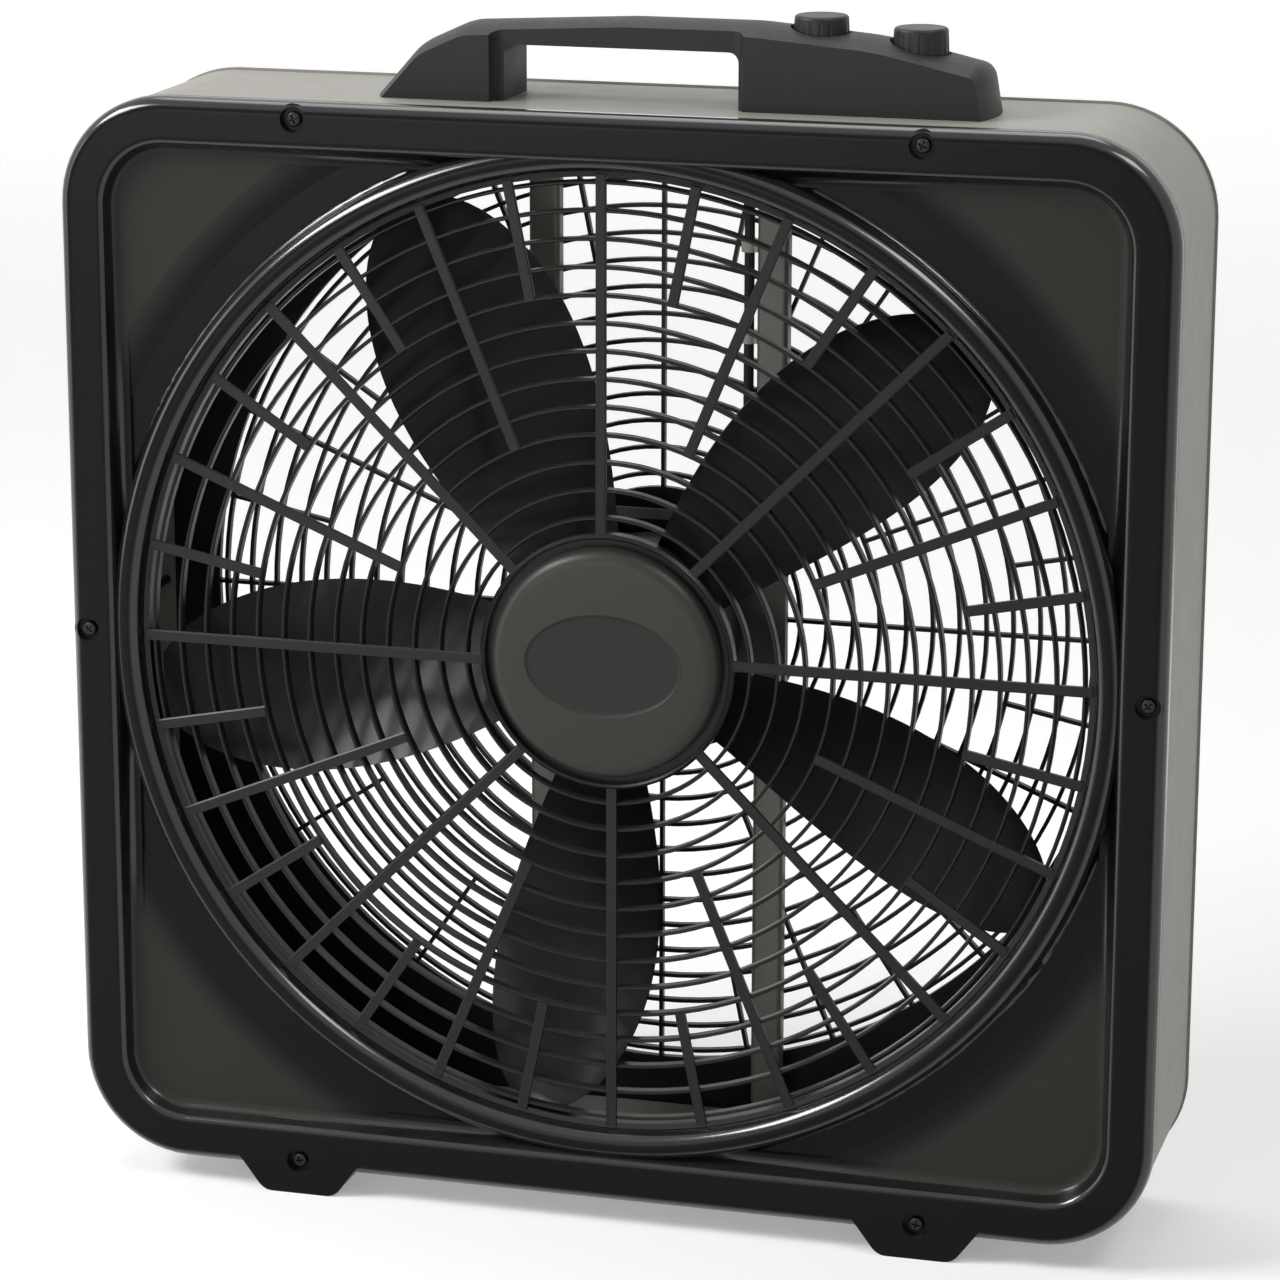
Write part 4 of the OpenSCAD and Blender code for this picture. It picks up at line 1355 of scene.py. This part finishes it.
@dataclass
class Studio:
    """A pale floor, soft lamps and the camera."""

    target: Vector
    azimuth: float = 15.91
    elevation: float = 15.13
    distance: float = 2.149
    lens: float = 130.5
    sensor: float = 36.0
    shift: Point = (0.0305, 0.028)
    clip: Point = (0.05, 60.0)
    even_light: float = 0.16
    lamps: tuple[Lamp, ...] = (
        Lamp("top_left", (-1.4, -0.9, 1.5), (0, 0, 0.35), (1.0, 0.5), 36),
        Lamp("top_right", (1.1, -0.8, 1.9), (0, 0, 0.35), (0.9, 0.5), 12),
        Lamp("overhead", (-0.2, 0.5, 2.2), (0, 0, 0.5), (1.6, 1.0), 16),
        Lamp("left_side", (-2.2, -0.9, 0.5), (0, 0, 0.3), (0.5, 1.3), 7),
        Lamp("front_low", (-0.9, -2.4, 0.5), (0, 0, 0.25), (1.2, 0.7), 8),
    )
    floor_front: float = -6.0
    floor_back: float = 3.0
    floor_half: float = 8.0
    backdrop_curve: float = 1.5
    backdrop_height: float = 6.0
    backdrop_steps: int = 12
    crease: float = 60.0
    paper: Colour = (0.76, 0.76, 0.755)
    paper_roughness: float = 0.7
    paper_glow: Colour = (1.0, 1.0, 0.99)
    glow_reach: Point = (0.6, 4.0)
    glow: Point = (0.3, 0.8)

    def camera(self) -> None:
        """Places the camera on its line of sight."""
        data = bpy.data.cameras.new("camera")
        data.lens = self.lens
        data.sensor_width = self.sensor
        data.shift_x, data.shift_y = self.shift
        data.clip_start, data.clip_end = self.clip
        cam = bpy.data.objects.new("camera", data)
        bpy.context.scene.collection.objects.link(cam)
        a, e = math.radians(self.azimuth), math.radians(self.elevation)
        back = Vector((math.sin(a) * math.cos(e), -math.cos(a) * math.cos(e), math.sin(e)))
        cam.location = self.target + back * self.distance
        cam.rotation_euler = (-back).to_track_quat("-Z", "Y").to_euler()
        bpy.context.scene.camera = cam

    def lights(self) -> None:
        """Hangs the lamps and sets the world's even light, which looks white behind all."""
        for lamp in self.lamps:
            lamp.hang()
        world = bpy.data.worlds.new("studio")
        world.use_nodes = True
        tree = Tree(world.node_tree)
        level = tree.span(tree.shown(), 0.0, 1.0, self.even_light, 1.0)
        sky = world.node_tree.nodes["Background"]
        tree.fill(sky, {"Color": (1, 1, 1, 1), "Strength": level})
        bpy.context.scene.world = world
        bpy.context.scene.view_settings.view_transform = "Standard"

    def floor(self) -> None:
        """Lays a pale floor that curves up into a backdrop."""
        bm = bmesh.new()
        bend = self.backdrop_curve
        curve = arc((self.floor_back, bend), bend, 0, 90, self.backdrop_steps)
        top = (self.floor_back + bend, self.backdrop_height)
        profile = [(self.floor_front, 0.0), *curve, top]
        verts = [bm.verts.new((-self.floor_half, y, z)) for y, z in profile]
        edges = [bm.edges.new(pair) for pair in zip(verts, verts[1:])]
        moved = new_verts(bmesh.ops.extrude_edge_only(bm, edges=edges))
        bmesh.ops.translate(bm, verts=moved, vec=(2 * self.floor_half, 0, 0))
        floor = finished("floor", bm, self.crease)
        sheet = Sheet("floor_paper")
        away = sheet.span(sheet.vector("LENGTH", sheet.place()), *self.glow_reach, *self.glow)
        sheet.shade(
            Base_Color=rgba(self.paper), Roughness=self.paper_roughness,
            Emission_Color=rgba(self.paper_glow),
            Emission_Strength=sheet.math("MULTIPLY", sheet.shown(), away),
        )
        paint(floor, sheet.material)


def screw_places(low: Vector, high: Vector, axis_height: float) -> list[Point]:
    """Finds the six front screws.

    Args:
        low: The front panel's lowest corner.
        high: Its highest corner.
        axis_height: The fan axis's height.

    Returns:
        The screws' places across and their heights.
    """
    top, side, foot = high.z - 8 * MM, 8.7 * MM, 16.7 * MM
    upper, lower = 147 * MM, 153 * MM
    return [
        (-upper, top), (upper, top),
        (low.x + side, axis_height), (high.x - side, axis_height),
        (-lower, foot), (lower, foot),
    ]


def rear_plastic(high: Vector) -> EdgedPlastic:
    """Fits the rear moulding's finish to the outline that it shares with the front panel.

    Args:
        high: The front panel's highest corner.

    Returns:
        The finish.
    """
    corner, foot, edge_width = 52 * MM, 12 * MM, 5 * MM
    middle = (0.0, 0.0, (high.z + foot) / 2)
    straight_half = (high.x - corner, 1.0, (high.z - foot) / 2 - corner)
    return EdgedPlastic(
        "rear_black", (0.01, 0.01, 0.01), (0.25, 0.24, 0.215), middle, straight_half, corner,
        edge_width,
    )


def main() -> None:
    """Builds the pieces, dresses the nodes and sets the studio."""
    logging.basicConfig(level=logging.INFO, format="%(message)s")
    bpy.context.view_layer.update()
    panel_low, panel_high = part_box("front_panel")
    grille_low, grille_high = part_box("front_grille")
    axis_height = (grille_low.z + grille_high.z) / 2
    front = panel_low.y
    panel = PanelPlastic(
        "panel_black", (0.004, 0.004, 0.004), (0.0235, 0.0231, 0.0205), front + PAN_DEPTH,
        axis_height, LIP_RADIUS,
    )

    LOG.info("rotor: %s", Rotor(Vector((0, front, axis_height))).build().name)
    LOG.info("handle: %s", Handle().build().name)
    LOG.info("lip: %s", LipBead(axis_height, front).build(panel).name)
    screws = CrossScrews(screw_places(panel_low, panel_high, axis_height), front + SCREW_SEAT)
    LOG.info("screws: %s", screws.build(BLACK_STEEL).name)
    LOG.info("badge: %s", Badge(axis_height, front + BADGE_DEPTH).build().name)
    own = {panel: ("front_panel",), rear_plastic(panel_high): ("rear_grille",)}
    Dressing({**own, **NODE_FINISHES}).apply()

    studio = Studio(Vector((0, front, panel_high.z / 2 + SIGHT_RISE)))
    studio.camera()
    studio.lights()
    studio.floor()


if __name__ == "__main__":
    main()
